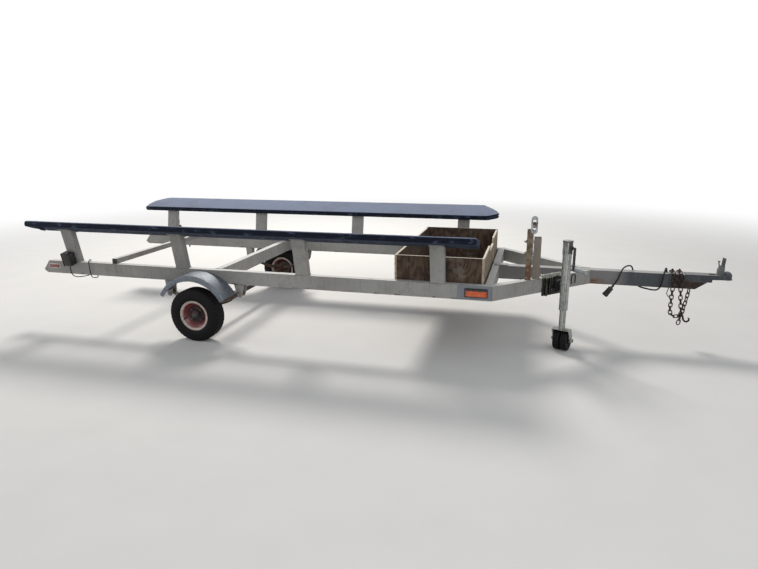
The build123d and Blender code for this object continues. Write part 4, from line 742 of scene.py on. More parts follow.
def dress_nodes():
    """Materials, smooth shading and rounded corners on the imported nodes."""
    for material, names in NODE_FINISH.items():
        for name in names.split():
            nodes[name].data.materials.clear()
            nodes[name].data.materials.append(material)
    for node in nodes.values():
        node.data.shade_smooth()
        node.data.set_sharp_from_angle(angle=radians(32))
    for width, names in NODE_BEVEL.items():
        for name in names.split():
            bevel = nodes[name].modifiers.new("rounded", "BEVEL")
            bevel.width = width
            bevel.segments = 3
            bevel.limit_method = "ANGLE"
            bevel.angle_limit = radians(40)


dress_nodes()


# Tyres


TREAD_HALF = 0.046
SHOULDER = 0.019
GROOVES = (-0.0235, -0.0075, 0.0075, 0.0235)
GROOVE_HALF = 0.0022
GROOVE_SLOPE = 0.0009
GROOVE_DEPTH = 0.0045
SLOT_DEPTH = 0.0036
ZIGZAG = 0.0021
ZIGZAGS = 44
TYRE_ROWS = 352
WALL_LINES = ((0.1835, 0.0009), (0.180, 0.0006), (0.139, 0.0008), (0.126, 0.0011))
VALVE_R = 0.0885


def smooth_line(points, steps):
    """A curve through the points, with some steps between each two."""
    line = []
    last = len(points) - 1
    for i in range(last):
        four = (points[max(i - 1, 0)], points[i], points[i + 1], points[min(i + 2, last)])
        for k in range(steps):
            t = k / steps
            squared, cubed = t ** 2, t ** 3
            first, last_but_one = 2 * squared - t - cubed, t + 4 * squared - 3 * cubed
            weights = (first, 2 - 5 * squared + 3 * cubed, last_but_one, cubed - squared)
            line.append(tuple(sum(w * p[a] for w, p in zip(weights, four)) / 2 for a in (0, 1)))
    line.append(points[-1])
    return line


def tyre_section():
    """(radius, outward) from one bead over the tread to the other bead, then back inside."""
    bead = 0.043
    bead_r = RIM_SEAT_R + 0.0004
    reach = TREAD_HALF - 0.006
    wall = [
        (TYRE_R - 0.001, reach), (TYRE_R - 0.004, TREAD_HALF), (TYRE_R - 0.015, TYRE_HALF - 0.0068),
        (TYRE_R - 0.034, TYRE_HALF - 0.0018), (0.151, TYRE_HALF), (0.135, TYRE_HALF - 0.0015),
        (0.120, TYRE_HALF - 0.0085), (0.1172, bead),
    ]
    side = smooth_line(wall, 6) + [(bead_r, bead)]
    count = 58
    crown = []
    for k in range(1, count):
        out = -reach + 2 * reach * k / count
        crown.append((TYRE_R - 0.001 * (out / reach) ** 2, out))
    outer = [(r, -out) for r, out in reversed(side)] + crown + side
    inner = [(bead_r, bead - 0.011), (0.151, TYRE_HALF - 0.011), (TYRE_R - 0.012, 0)]
    return outer, inner + [(r, -out) for r, out in reversed(inner[:2])]


def ramp(value):
    return min(1, max(0, value))


def tread_depth(radius, out, angle):
    """How deep the tread's grooves, the shoulder's slots and the wall's raised lines lie at a point."""
    phase = angle * ZIGZAGS / (2 * pi) % 1
    zigzag = ZIGZAG * (4 * abs(phase - 0.5) - 1)
    depth = 0.0
    for groove in GROOVES:
        away = abs(out - groove - zigzag)
        depth = max(depth, GROOVE_DEPTH * ramp((GROOVE_HALF + GROOVE_SLOPE - away) / GROOVE_SLOPE))
    if abs(out) > 0.030 and radius > TYRE_R - SHOULDER:
        slot = abs(phase - (0.5 if out > 0 else 0.0))
        slot = min(slot, 1 - slot) / ZIGZAGS * 2 * pi * TYRE_R
        depth = max(depth, SLOT_DEPTH * ramp((0.0030 - slot) / 0.0012))
    if radius < TYRE_R - SHOULDER:
        for ring, height in WALL_LINES:
            depth -= height * max(0, 1 - ((radius - ring) / 0.0016) ** 2)
    return depth


def tyre(side, hand):
    outer, inner = tyre_section()
    centre = Vector((AXLE_X, -TYRE_Y * hand, AXLE_Z))
    normals = []
    for i in range(len(outer)):
        before, after = outer[max(i - 1, 0)], outer[min(i + 1, len(outer) - 1)]
        run = Vector((after[0] - before[0], after[1] - before[1])).normalized()
        normals.append((run.y, -run.x))
    rings = []
    for row in range(TYRE_ROWS):
        angle = 2 * pi * row / TYRE_ROWS
        ring = []
        for (radius, out), (normal_r, normal_out) in zip(outer, normals):
            depth = tread_depth(radius, out, angle)
            ring.append((radius - normal_r * depth, out - normal_out * depth))
        row_points = []
        for radius, out in ring + inner:
            row_points.append(centre + Vector((radius * cos(angle), -out * hand, radius * sin(angle))))
        rings.append(row_points)
    piece = Shape().rings(rings, closed=True).build(f"tread_{side}", TYRE, "tyre", f"wheel_{side}", 34)
    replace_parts(piece, f"tyre_{side}")


def valve(side, hand):
    """The rubber valve stem beside the wheel's well, with its cap."""
    angle = radians(200)
    foot = (AXLE_X + VALVE_R * cos(angle), -(TYRE_Y + 0.026) * hand, AXLE_Z + VALVE_R * sin(angle))
    profile = [
        (0.0075, 0.0), (0.0075, 0.003), (0.0048, 0.005), (0.0042, 0.022), (0.0038, 0.023), (0.0046, 0.0235),
        (0.0046, 0.031), (0.0032, 0.0325),
    ]
    stem = Shape().lathe(axes(foot, (0, -hand, 0)), profile, 14)
    stem.build(f"valve_{side}", RUBBER, "rubber", f"wheel_{side}")


for side, hand in SIDES:
    tyre(side, hand)
    valve(side, hand)


# Bunk carpet


CARPET_R = 0.011
CARPET_FOLD = 0.110
CARPET_STEP = 0.003
CROWN = 0.0016
END_RUN = 0.014
RIGHT_REAR_POINT = 0.045
RIGHT_FRONT_POINT = 0.010
LEFT_TIP_SHARE = 0.75
LEFT_OUTER_CUT = 0.150
LEFT_INNER_CUT = 0.110
LEFT_REAR_CUT = 0.16
BOARD_END = 0.06
STAPLE_PITCH = 0.085


def bunk_frame(hand):
    """The bunk's outer top corner, and its unit directions across and down."""
    corner = mirrored((0, -RAIL_OUT - BUNK_OVERHANG, DECK_Z + BUNK_RISE), hand)
    across = mirrored((0, cos(BUNK_TILT), -sin(BUNK_TILT)), hand)
    down = mirrored((0, -sin(BUNK_TILT), -cos(BUNK_TILT)), hand)
    return corner, across, down


def bunk_section():
    """(across, down, zone) round the bunk: crowned top, round corners, and folds that end in a step below."""
    r = CARPET_R
    edge = BUNK_W - CARPET_FOLD
    step = BUNK_T - CARPET_STEP
    section = []

    def bend(across, down, start, zone):
        for k in range(1, 6):
            angle = radians(start + 15 * k)
            section.append((across + r * cos(angle), down + r * sin(angle), zone))

    def run(start, end, zone):
        for k in range(6):
            section.append((*(a + (b - a) * k / 5 for a, b in zip(start, end)), zone))

    for k in range(31):
        share = k / 30
        section.append((r + (BUNK_W - 2 * r) * share, -CROWN * sin(pi * share), "top"))
    bend(BUNK_W - r, r, -90, "side")
    run((BUNK_W, r), (BUNK_W, BUNK_T - r), "side")
    bend(BUNK_W - r, BUNK_T - r, 0, "under")
    run((BUNK_W - r, BUNK_T), (edge, BUNK_T), "under")
    section += [(edge, BUNK_T - 0.0012, "fold"), (edge, step, "fold")]
    section += [(edge + (CARPET_FOLD - edge) * k / 6, step, "wood") for k in range(1, 6)]
    section += [(CARPET_FOLD, step, "fold"), (CARPET_FOLD, BUNK_T - 0.0012, "fold")]
    run((CARPET_FOLD, BUNK_T), (r, BUNK_T), "under")
    bend(r, BUNK_T - r, 90, "under")
    run((0, BUNK_T - r), (0, r), "side")
    bend(r, r, 180, "side")
    return section


def loose_flap(shape, corner, across_way, down_way):
    """A torn end of carpet that droops under the right bunk's rear end."""
    near, thick = 0.030, 0.003
    rings = []
    for k in range(9):
        share = k / 8
        x = REAR_X + 0.120 + 0.066 * share
        drop = BUNK_T - 0.0022 + 0.021 * share ** 2
        far = 0.100 - 0.02 * share
        ring = []
        for across, down in ((near, 0.0), (far, 0.0), (far, thick), (near, thick)):
            point = corner + across_way * across + down_way * (drop + down)
            ring.append(Vector((x, point.y, point.z)))
        rings.append(ring)
    shape.rings(rings)


def bunk_ends(side, low, high, share):
    """Where the carpet's rear and front lie at a share of the bunk's width."""
    if side == "left":
        outer_cut = max(0.0, 1 - share / LEFT_TIP_SHARE) ** 1.4
        inner_cut = max(0.0, (share - LEFT_TIP_SHARE) / (1 - LEFT_TIP_SHARE)) ** 1.2
        rear = low.x - 0.008 + LEFT_REAR_CUT * max(0.0, 1 - share / 0.92) ** 2.8
        return rear, high.x - LEFT_OUTER_CUT * outer_cut - LEFT_INNER_CUT * inner_cut
    near_tip = abs(2 * share - 1)
    return low.x + RIGHT_REAR_POINT * near_tip, high.x + 0.010 - RIGHT_FRONT_POINT * near_tip


def bunk_carpet(side, hand, low, high, corner, across_way, down_way):
    """Sections along the bunk that close in at both ends, with sways, folds and bunching near the ends."""
    section = bunk_section()
    count = 260
    mid = BUNK_T / 2
    closing = ((0.0, 0.58), (0.0015, 0.80), (0.0045, 0.93), (0.009, 0.982))
    stations = [(shift, shrink, "rear") for shift, shrink in closing]
    stations += [(k / count, 1.0, "run") for k in range(count + 1)]
    stations += [(shift, shrink, "front") for shift, shrink in reversed(closing)]
    rings = []
    for place, shrink, kind in stations:
        ring = []
        for across, down, zone in section:
            rear, front = bunk_ends(side, low, high, across / BUNK_W)
            x = rear + END_RUN + (front - rear - 2 * END_RUN) * place
            if kind == "rear":
                x = rear + place
            elif kind == "front":
                x = front - place
            drop = mid + (down - mid) * shrink
            in_from_end = max(min(x - rear, front - x), 0)
            sway = noise.noise(Vector((x * 7, across * 9, hand * 3))) * 0.0012
            fold = noise.noise(Vector((x * 26 + across * 18, across * 7, 5 + hand))) * 0.0011
            bunched = noise.noise(Vector((across * 55, x * 9, 9 + hand))) * 0.0034 * exp(-in_from_end / 0.05)
            lift = sway + fold + bunched
            if zone == "top":
                drop -= lift * shrink
            elif zone in ("under", "fold"):
                drop -= abs(lift) * 0.4
            shift = lift * shrink if zone == "side" else 0.0
            out = shift if across > BUNK_W / 2 else -shift
            if zone == "fold":
                out += noise.noise(Vector((x * 16, across * 40, hand))) * 0.006
            point = corner + across_way * (across + out) + down_way * drop
            ring.append(Vector((x, point.y, point.z)))
        rings.append(ring)
    shape = Shape().rings(rings)
    if side == "right":
        loose_flap(shape, corner, across_way, down_way)
    pad = shape.build(f"carpet_{side}", CARPET, "carpet", smooth=70)
    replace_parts(pad, f"bunk_{side}")


def under_bunk(side, low, high, corner, across_way, down_way):
    """The bare board between the carpet's folded edges, and the staples that hold them."""
    middle = corner + across_way * (BUNK_W / 2) + down_way * (BUNK_T - CARPET_STEP - 0.0006)
    turn = axes((0, 0, 0), down_way, (1, 0, 0))
    place = move(Vector(((low.x + high.x) / 2, middle.y, middle.z))) @ turn
    size = (high.x - low.x - 2 * BOARD_END, BUNK_W - 2 * CARPET_FOLD + 0.012, 0.0022)
    Shape().block(place, size, 0.0004).build(f"bunk_board_{side}", BOARD, "plywood")
    staples = Shape()
    steps = int((high.x - low.x - 0.16) / STAPLE_PITCH)
    for across in (CARPET_FOLD - 0.011, BUNK_W - CARPET_FOLD + 0.011):
        base = corner + across_way * across + down_way * (BUNK_T - 0.0002)
        for k in range(steps):
            x = low.x + 0.08 + k * STAPLE_PITCH
            lean = across_way * (0.0045 * random.choice((-1, 1)) * 0.4)
            ends = (Vector((x + 0.005 * way, base.y, base.z)) + lean * way for way in (-1, 1))
            staples.tube(ends, 0.0007, 5)
    staples.build(f"staples_{side}", BOLT, "galvanised")


for side, hand in SIDES:
    low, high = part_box(f"bunk_{side}")
    ways = bunk_frame(hand)
    bunk_carpet(side, hand, low, high, *ways)
    under_bunk(side, low, high, *ways)


# Welds and bolts


def loop_on_deck(centre_x, centre_y, half_x, half_y):
    corners = ((-1, -1), (1, -1), (1, 1), (-1, 1))
    return [(centre_x + half_x * a, centre_y + half_y * b, DECK_Z) for a, b in corners]


def rail_welds(shape, hand):
    """Beads at the kink, round the posts' feet, at the crossmembers, the V's front end and the hangers."""

    def bead(points, radius, closed=False):
        shape.weld([mirrored(p, hand) for p in points], radius, closed)

    mitre = (RAIL_OUT - RAIL_IN) * tan(V_ANGLE / 2)
    crest = DECK_Z - 0.001
    kink = [(KINK_X, -RAIL_OUT, RAIL_BOTTOM + 0.004), (KINK_X, -RAIL_OUT, crest)]
    bead(kink + [(KINK_X - mitre, -RAIL_IN, crest)], 0.0028)
    half_y = POST_D / cos(POST_LEAN) / 2
    for i in range(POST_COUNT):
        x = REAR_X + POST_FIRST + POST_PITCH * i
        bead(loop_on_deck(x, -RAIL_OUT + half_y, POST_W / 2 + 0.001, half_y), 0.0034, closed=True)
    for name, gap in (("crossmember_main", 0.0), ("crossmember_front", mitre + 0.008)):
        low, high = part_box(name)
        edge = [(low.x, -RAIL_IN, RAIL_BOTTOM), (low.x, -RAIL_IN, DECK_Z), (high.x - gap, -RAIL_IN, DECK_Z)]
        bead(edge, 0.0032)
    outer = (KINK_X + (RAIL_OUT - TONGUE_HALF) / tan(V_ANGLE), -TONGUE_HALF)
    inner = (KINK_X - mitre + (RAIL_IN - TONGUE_HALF) / tan(V_ANGLE), -TONGUE_HALF)
    bead([(*outer, RAIL_BOTTOM), (*outer, DECK_Z), (*inner, DECK_Z), (*inner, RAIL_BOTTOM)], 0.0034)
    low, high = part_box("crossbar_rear")
    for x in (low.x, high.x):
        bead([(x, y, DECK_Z) for y in (-high.y, -RAIL_IN)], 0.003)
    bead([(KINK_X + 0.003, -TONGUE_HALF, z) for z in (RAIL_BOTTOM, DECK_Z)], 0.003)
    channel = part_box("coupler")[0].x
    out, z = -TONGUE_HALF - 0.002, DECK_Z - 0.0455
    lip = [(channel + 0.012, -TONGUE_HALF, DECK_Z - 0.036), (channel + 0.027, out, z)]
    bead(lip + [(NOSE_X - 0.140, out, z)], 0.0024)
    hanger_half = 0.0285
    mid = (RAIL_OUT + RAIL_IN) / 2
    for centre, half in ((AXLE_X + 0.310, 0.040), (AXLE_X - 0.298, 0.032)):
        for y in (-mid - hanger_half, -mid + hanger_half):
            bead([(centre - half, y, RAIL_BOTTOM), (centre + half, y, RAIL_BOTTOM)], 0.003)


def welds():
    shape = Shape()
    for side, hand in SIDES:
        rail_welds(shape, hand)
    for name in ("bow_stop_post", "open_upright"):
        low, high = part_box(name)
        half = (high.x - low.x) / 2
        middle = (low + high) / 2
        shape.weld(loop_on_deck(middle.x, middle.y, half, half), 0.0032, closed=True)
    shape.build("weld_beads", WELD, "frame_paint", smooth=60)


BOX_SCREW_Y = 0.6175
BOX_SCREW_LEVELS = (0.475, 0.565, 0.655)


def frame_bolts():
    """The roller cheeks' bolts, the box's screws, the markers' screws and the coupler's painted bolts."""
    shape, screws, painted = Shape(), Shape(), Shape()
    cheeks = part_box("bow_roller_cheeks")[0].z
    low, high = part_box("bow_stop_post")
    y = (low.y + high.y) / 2
    for z in (cheeks + 0.045, cheeks + 0.125):
        shape.bolt(axes((high.x + 0.006, y, z), (1, 0, 0)), 0.017, 0.008, washer=0.024)
        shape.bolt(axes((low.x, y, z), (-1, 0, 0)), 0.017, 0.009, washer=0.024, stud=0.007)
    head = [(0.0046, 0.0), (0.0046, 0.0006), (0.0030, 0.0014)]
    for x, way in ((panel_low.x - 0.015, -1), (panel_high.x + 0.015, 1)):
        for y, z in product((-BOX_SCREW_Y, BOX_SCREW_Y), BOX_SCREW_LEVELS):
            shape.lathe(axes((x, y, z), (way, 0, 0)), head, 14)
    for side, hand in SIDES:
        outward = (0, -hand, 0)
        for x in (KINK_X - 0.168, KINK_X - 0.040):
            seat = axes((x, -(RAIL_OUT + 0.0135) * hand, MARKER_Z), outward)
            screws.lathe(seat, [(0.0042, 0.0), (0.0042, 0.0008), (0.0026, 0.0018)], 14)
        for x in (NOSE_X - 0.262, NOSE_X - 0.190):
            seat = axes((x, -(TONGUE_HALF + 0.004) * hand, DECK_Z - 0.023), outward)
            painted.bolt(seat, 0.016, 0.007, stud=0.005 if hand < 0 else 0.0)
    shape.build("frame_bolts", BOLT, "galvanised")
    screws.build("marker_screws", DARK, "dark_steel")
    painted.build("coupler_bolts", COUPLER_PAINT, "frame_paint")


welds()
frame_bolts()


# Lamps, reflectors and marker bases


def tail_lamps():
    """Moulded housings that lean with the posts, each with a ribbed red lens on its rear face."""
    low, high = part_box("tail_lights")
    housing = Shape()
    for side, hand in SIDES:
        centre = Vector(((low.x + high.x) / 2, -(RAIL_OUT + 0.048) * hand, (low.z + high.z) / 2))
        place = move(centre) @ turned(POST_LEAN * hand, 4, "X")
        housing.block(place, (0.076, 0.064, 0.104), 0.008)
        housing.block(place @ move((-0.037, 0, 0)), (0.006, 0.069, 0.110), 0.0025)
        cover = Shape().block(place @ move((-0.041, 0, 0)), (0.009, 0.058, 0.097), 0.0035)
        cover.build(f"tail_lens_{side}", TAIL_LENS, "red_lens")
    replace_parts(housing.build("tail_light_housings", PLASTIC, "black_plastic"), "tail_lights")


def lamps_and_reflectors():
    """The red reflectors with their pale borders, and the frames round the amber markers."""
    for side, hand in SIDES:
        middle = Vector((REAR_X + 0.1115, -(RAIL_OUT + 0.0010) * hand, REFLECTOR_Z))
        border = Shape().block(move(middle), (0.108, 0.003, 0.036), 0.0012)
        border.build(f"reflector_border_{side}", PALE_PLASTIC, "black_plastic")
        red = Shape().block(move(middle + Vector((0, -0.0016 * hand, 0))), (0.099, 0.003, 0.027), 0.0010)
        red.build(f"reflector_{side}", RED_LENS, "red_lens")
        base = Shape()
        centre = Vector((KINK_X - 0.104, -(RAIL_OUT + 0.0025) * hand, MARKER_Z))
        for way in (1, -1):
            base.block(move(centre + Vector((0, 0, 0.0285 * way))), (0.152, 0.007, 0.006), 0.0012)
        for way in (1, -1):
            base.block(move(centre + Vector((0.0745 * way, 0, 0))), (0.006, 0.007, 0.060), 0.0012)
        base.build(f"marker_base_{side}", PLASTIC, "black_plastic")


tail_lamps()
lamps_and_reflectors()


# Small things on the tongue and the jack


def ring_path(centre, across, up, radius, turn=360, start=0, steps=20):
    centre, across, up = Vector(centre), Vector(across), Vector(up)
    angles = [radians(start + turn * k / steps) for k in range(steps + (turn < 360))]
    return [centre + across * radius * cos(a) + up * radius * sin(a) for a in angles]


def latch():
    """The coupler's latch: a tapered body, two pairs of tines and a small trigger with its knob."""
    x = NOSE_X - 0.086
    foot = DECK_Z + 0.004
    rings = []
    for rear, front, half, height in ((-0.014, 0.026, 0.017, 0.0), (-0.015, 0.027, 0.016, 0.032),
                                      (-0.007, 0.027, 0.012, 0.060), (0.002, 0.026, 0.010, 0.068)):
        corners = ((x + rear, -half), (x + front, -half), (x + front, half), (x + rear, half))
        rings.append([Vector((a, b, foot + height)) for a, b in corners])
    shape = Shape().rings(rings)
    rear_tine = ((0.010, 0.050), (0.014, 0.118), (0.015, 0.124))
    front_tine = ((0.020, 0.045), (0.026, 0.114), (0.027, 0.120))
    for y, tine in product((-0.0085, 0.0085), (rear_tine, front_tine)):
        shape.tube([(x + ahead, y, foot + height) for ahead, height in tine], [0.0048, 0.0036, 0.002], 8)
    trigger = [(x - 0.004, 0, foot + 0.050), (x - 0.011, 0, foot + 0.080), (x - 0.012, 0, foot + 0.092)]
    shape.tube(trigger, 0.0040, 8)
    knob = [(0.002, 0.0), (0.0065, 0.003), (0.0072, 0.0075), (0.0055, 0.012), (0.001, 0.0135)]
    shape.lathe(axes((x - 0.012, 0, foot + 0.088), UP), knob, 16)
    shape.block(move((x - 0.045, 0, foot + 0.0035)), (0.036, 0.020, 0.007), 0.0015)
    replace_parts(shape.build("latch_tines", LATCH_ZINC, "galvanised"), "coupler_latch")


LOW_HOOK_Y = -0.0625
# (x, z, radius) along the S-hook
LOW_HOOK = [
    (2.313, 0.222, 0.0048), (2.318, 0.236, 0.0048), (2.330, 0.241, 0.0048), (2.341, 0.233, 0.0048),
    (2.343, 0.217, 0.0068), (2.348, 0.200, 0.0068), (2.360, 0.188, 0.0068), (2.374, 0.188, 0.0068),
    (2.384, 0.198, 0.0068), (2.384, 0.212, 0.0055), (2.376, 0.218, 0.0035),
]
# (behind the nose, y, below the tongue) along the keeper
KEEPER_WIRE = [
    (0.404, -0.030, -0.001), (0.412, -0.033, 0.022), (0.416, -0.035, 0.042), (0.409, -0.035, 0.060),
    (0.400, -0.034, 0.072), (0.396, -0.033, 0.055),
]


def hooks():
    """The chains' hook and S-hook, and a bent wire under the tongue."""
    centre = Vector((NOSE_X - 0.345, -TONGUE_HALF - 0.0055, DECK_Z - 0.030))
    hook_path = ring_path(centre, (1, 0, 0), (0, 0, 1), 0.029, 300, 120, 24)
    radii = [0.0035 + 0.0016 * sin(pi * k / (len(hook_path) - 1)) for k in range(len(hook_path))]
    shape = Shape().tube(hook_path, radii, 10)
    shape.tube([centre + Vector((-0.024, -0.001, 0.026)), centre + Vector((0.008, -0.001, 0.001))], 0.0042, 8)
    shape.tube([(x, LOW_HOOK_Y, z) for x, z, radius in LOW_HOOK], [radius for x, z, radius in LOW_HOOK], 10)
    shape.build("chain_hooks", CHAIN, "zinc_chain", smooth=60)
    wire = [(NOSE_X - behind, y, RAIL_BOTTOM - below) for behind, y, below in KEEPER_WIRE]
    Shape().tube(wire, 0.0028, 8).build("wire_keeper", KEEPER, "galvanised")


def jack_fittings():
    """The grip's sleeve, a ring under the clamp, and the tie round the V rail's face."""
    axis = v_point(JACK_ALONG_V, JACK_STANDOFF, 0)
    end = axis + V_N * (JACK_HEAD_R + 0.034) + UP * (CRANK_Z - 0.145)
    sleeve = [
        (0.0121, 0.010), (0.0134, 0.012), (0.0134, 0.030), (0.0126, 0.034), (0.0126, 0.086), (0.0134, 0.090),
        (0.0134, 0.108), (0.0120, 0.1105), (0.004, 0.1112),
    ]
    Shape().lathe(axes(end, V_N), sleeve, 24).build("crank_grip", ZINC, "galvanised", "jack")
    under = v_point(JACK_ALONG_V - 0.083, 0.010, RAIL_BOTTOM - 0.017)
    small = Shape().tube(ring_path(under, V_T, (0, 0, 1), 0.0125), 0.0026, 8, closed=True)
    tie = [(0.735, 0.447), (0.734, 0.470), (0.734, 0.500), (0.737, 0.511), (0.745, 0.5175), (0.759, 0.5175),
           (0.768, 0.511), (0.771, 0.498), (0.770, 0.452)]
    small.tube([v_point(along, 0.0036, z) for along, z in tie], 0.0036, 8)
    small.build("dark_tie", PLASTIC, "black_plastic")


latch()
hooks()
jack_fittings()


# The wiring lead and its plug


def tongue_point(behind_nose, left, above_deck):
    """A chosen point by the tongue, in millimetres, as in the model's source."""
    return Vector((NOSE_X - behind_nose / 1000, left / 1000, DECK_Z + above_deck / 1000))


# The tongue's underside and the floor, in millimetres above the deck
BOTTOM = (RAIL_BOTTOM - DECK_Z) * 1000
FLOOR = -DECK_Z * 1000
LEAD_POINTS = [
    (424, 14, 0), (424, 14, 20), (430, 0, 34), (440, -26, 36), (450, -52, 18), (456, -62, -16),
    (460, -64, -52), (466, -62, -88), (484, -54, BOTTOM - 17), (518, -34, BOTTOM - 23),
    (556, -8, BOTTOM - 21), (592, 24, BOTTOM - 20), (616, 54, BOTTOM - 6), (630, 66, BOTTOM + 37),
    (639, 67, -15), (653, 56, 24), (678, 20, 36), (707, -18, 36), (732, -52, 21), (746, -66, -20),
    (760, -69, -64), (784, -69, BOTTOM + 3),
]


def wiring_plug(end, along):
    """A moulded round plug: tapered neck, ribbed grip, open end with its brass pins."""
    place = axes(end, along)
    profile = [
        (0.0066, -0.001), (0.0085, 0.002), (0.0085, 0.014), (0.012, 0.022), (0.0185, 0.024), (0.0205, 0.027),
        (0.0205, 0.031), (0.0175, 0.033), (0.0175, 0.040), (0.0205, 0.042), (0.0205, 0.047), (0.0185, 0.050),
        (0.0185, 0.072), (0.0215, 0.075), (0.0215, 0.0945), (0.0205, 0.096), (0.0168, 0.096), (0.0168, 0.084),
        (0.001, 0.084),
    ]
    shape = Shape().lathe(place, profile, 40)
    ribs = 16
    for k in range(ribs):
        rib = place @ turned(2 * pi * k / ribs, 4, "Z") @ move((0.0186, 0, 0.061))
        shape.block(rib, (0.0022, 0.0032, 0.019), 0.0006)
    shape.block(place @ move((0, 0.0208, 0.085)), (0.009, 0.0024, 0.016), 0.0007)
    plug = shape.build("lead_plug", PLASTIC, "black_plastic")
    pins = Shape()
    for k in range(4):
        angle = pi / 2 * k + 0.4
        spot = place @ move((0.0085 * cos(angle), 0.0085 * sin(angle), 0))
        pins.lathe(spot, [(0.0022, 0.083), (0.0022, 0.0925), (0.0014, 0.094)], 12)
    brass = pins.build("plug_pins", BRASS, "galvanised")
    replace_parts(plug, "wiring_plug")
    return [plug, brass]


def wiring_lead():
    """The cord from its grommet in the tongue's top, under the tongue and over it, to its plug."""
    points = [tongue_point(*point) for point in LEAD_POINTS]
    curve = bpy.data.curves.new("wiring_lead_cord", "CURVE")
    curve.dimensions = "3D"
    curve.resolution_u = 8
    curve.bevel_depth = LEAD_D / 2
    curve.bevel_resolution = 4
    curve.use_fill_caps = True
    spline = curve.splines.new("NURBS")
    spline.points.add(len(points) - 1)
    for place, point in zip(spline.points, points):
        place.co = (*point, 1)
    spline.order_u = 3
    spline.use_endpoint_u = True
    curve.materials.append(CABLE)
    lead = new_object("wiring_lead_cord", curve)
    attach(lead, "frame")
    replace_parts(lead, "wiring_lead")
    plug = wiring_plug(points[-1], points[-1] - points[-2])
    collar = [
        (0.0062, 0.0), (0.0105, 0.0), (0.0105, 0.0022), (0.0085, 0.0035), (0.0072, 0.012), (0.0062, 0.013),
    ]
    Shape().lathe(axes(points[0], UP), collar, 24).build("lead_grommet", RUBBER, "rubber")


# Safety chains


LONG_CHAIN = [
    (393, 26, 7.3), (392, -1, 21), (391, -28, 24.5), (390, -54, 13), (389, -67, -15), (388, -68, -46),
    (387, -64, FLOOR + 430), (385, -54, FLOOR + 340), (383, -42, FLOOR + 285), (381, -34, FLOOR + 252),
    (375, -29, FLOOR + 229), (358, -24, FLOOR + 212), (335, -19, FLOOR + 206), (312, -15, FLOOR + 212),
    (295, -12, FLOOR + 229), (289, -10, FLOOR + 252), (284, -8, FLOOR + 292), (273, -6, FLOOR + 360),
    (266, -5, BOTTOM - 8.4),
]
SHORT_CHAIN = [
    (346, 30, 7.3), (345, 3, 21), (344, -24, 24.5), (343, -50, 13), (342, -66, -13), (341, -68, -43),
    (336, -68, FLOOR + 430), (326, -66, FLOOR + 340), (314, -64, FLOOR + 262), (316, -61, FLOOR + 206),
    (326, -58, FLOOR + 150),
]


def chain_places(route):
    """Where each link's middle is along a route, and how it is turned."""
    pitch = CHAIN_LINK_L - 2 * CHAIN_WIRE - CHAIN_SLACK
    corners = [tongue_point(*point) for point in route]
    joints = [corners[0]]
    for start, end in zip(corners, corners[1:]):
        while (end - joints[-1]).length >= pitch:
            run = (end - start).normalized()
            back = start - joints[-1]
            toward = back.dot(run)
            reach = sqrt(toward ** 2 - back.dot(back) + pitch ** 2) - toward
            joints.append(start + run * reach)
    flat = UP.copy()
    places = []
    for i, (start, end) in enumerate(zip(joints, joints[1:])):
        along = (end - start).normalized()
        flat = (flat - along * flat.dot(along)).normalized()
        normal = along.cross(flat) if i % 2 else flat
        places.append(axes((start + end) / 2, normal, along))
    return places


def chain_link(shape, place):
    """A welded link of round wire, with the weld's small swelling on one side."""
    radius = CHAIN_WIRE / 2
    bend = CHAIN_LINK_W / 2 - radius
    straight = (CHAIN_LINK_L - CHAIN_LINK_W) / 2
    path = []
    for end in (-1, 1):
        for k in range(9):
            angle = end * pi / 2 + pi * k / 8
            path.append((bend * cos(angle) - end * straight, bend * sin(angle)))
    path += [(-0.003, -bend), (0.0, -bend), (0.003, -bend)]
    radii = [radius] * len(path)
    radii[-2] = radius * 1.14
    shape.tube([place @ Vector((x, y, 0)) for x, y in path], radii, 10, closed=True)


def safety_chains():
    shape = Shape()
    for route in (LONG_CHAIN, SHORT_CHAIN):
        for place in chain_places(route):
            chain_link(shape, place)
    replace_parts(shape.build("safety_chain_links", CHAIN, "zinc_chain", smooth=60), "safety_chains")


wiring_lead()
safety_chains()


# Floor, daylight and lamps


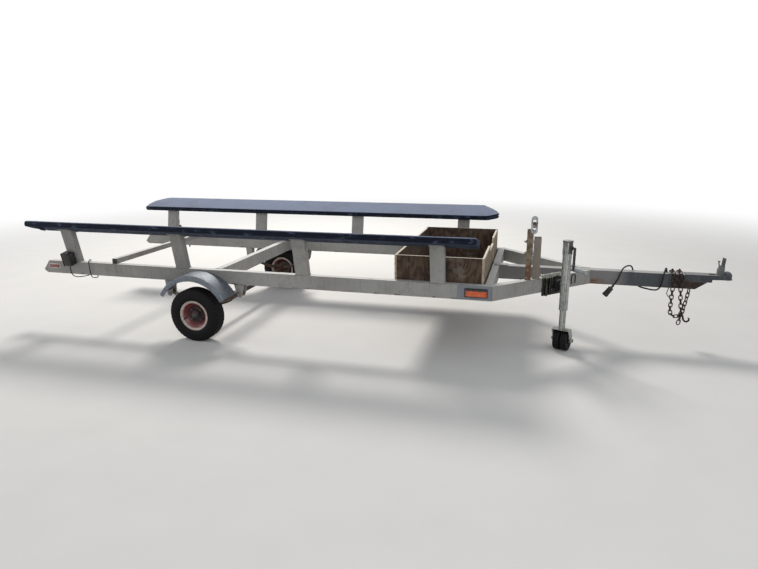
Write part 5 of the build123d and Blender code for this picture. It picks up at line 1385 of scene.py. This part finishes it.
def stage():
    """A pale floor that fades to the white background, away from the object."""
    reach = 40
    mesh = bpy.data.meshes.new("floor")
    corners = [(-reach, -reach, 0), (reach, -reach, 0), (reach, reach, 0), (-reach, reach, 0)]
    mesh.from_pydata(corners, [], [[0, 1, 2, 3]])
    floor = new_object("floor", mesh)
    floor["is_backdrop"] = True
    f = Finish("pale_floor", roughness=0.9, Specular_IOR_Level=0.1)
    f.base = f.mix(f.noise(3, 4), (0.86, 0.855, 0.845), (0.89, 0.885, 0.875))
    mesh.materials.append(f.finish())
    away = f.node("VectorMath", {0: f.place}, operation="LENGTH").outputs["Value"]
    share = f.both(f.remap(away, 4.2, 9.5), f.seen())
    layers = {0: share, 1: f.shader.outputs[0], 2: f.node("Emission").outputs[0]}
    f.put(f.tree.nodes["Material Output"], "Surface", f.node("MixShader", layers).outputs[0])


def daylight():
    """Even pale light all round, and a white background where the camera or a reflection sees it."""
    world = bpy.data.worlds.new("studio")
    bpy.context.scene.world = world
    world.use_nodes = True
    world.node_tree.nodes.clear()
    w = Nodes(world.node_tree)
    fill = w.node("Background", {"Color": (0.93, 0.96, 1.0, 1), "Strength": 0.42}).outputs[0]
    white = w.node("Background", {"Color": (1, 1, 1, 1)}).outputs[0]
    w.node("OutputWorld", {"Surface": w.node("MixShader", {0: w.seen(), 1: fill, 2: white}).outputs[0]})


def lamp(name, place, size, watts, tint):
    data = bpy.data.lights.new(name, "AREA")
    data.shape = "DISK"
    data.size = size
    data.energy = watts
    data.color = tint
    new_object(name, data).matrix_world = axes(place, Vector(place) - Vector((0, 0, 0.4)))


stage()
daylight()
# The key stands where the sun stands in the photograph: high, behind and to the left
lamp("key", (-2.6, 4.6, 6.4), 2.4, 520, (1.0, 0.965, 0.91))
lamp("front_fill", (3.6, -6.5, 3.6), 4.0, 110, (0.95, 0.97, 1.0))
lamp("rear_fill", (-6.5, -2.0, 3.2), 3.0, 45, (1.0, 0.98, 0.95))
bpy.context.scene.view_settings.view_transform = "Standard"

low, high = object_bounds()
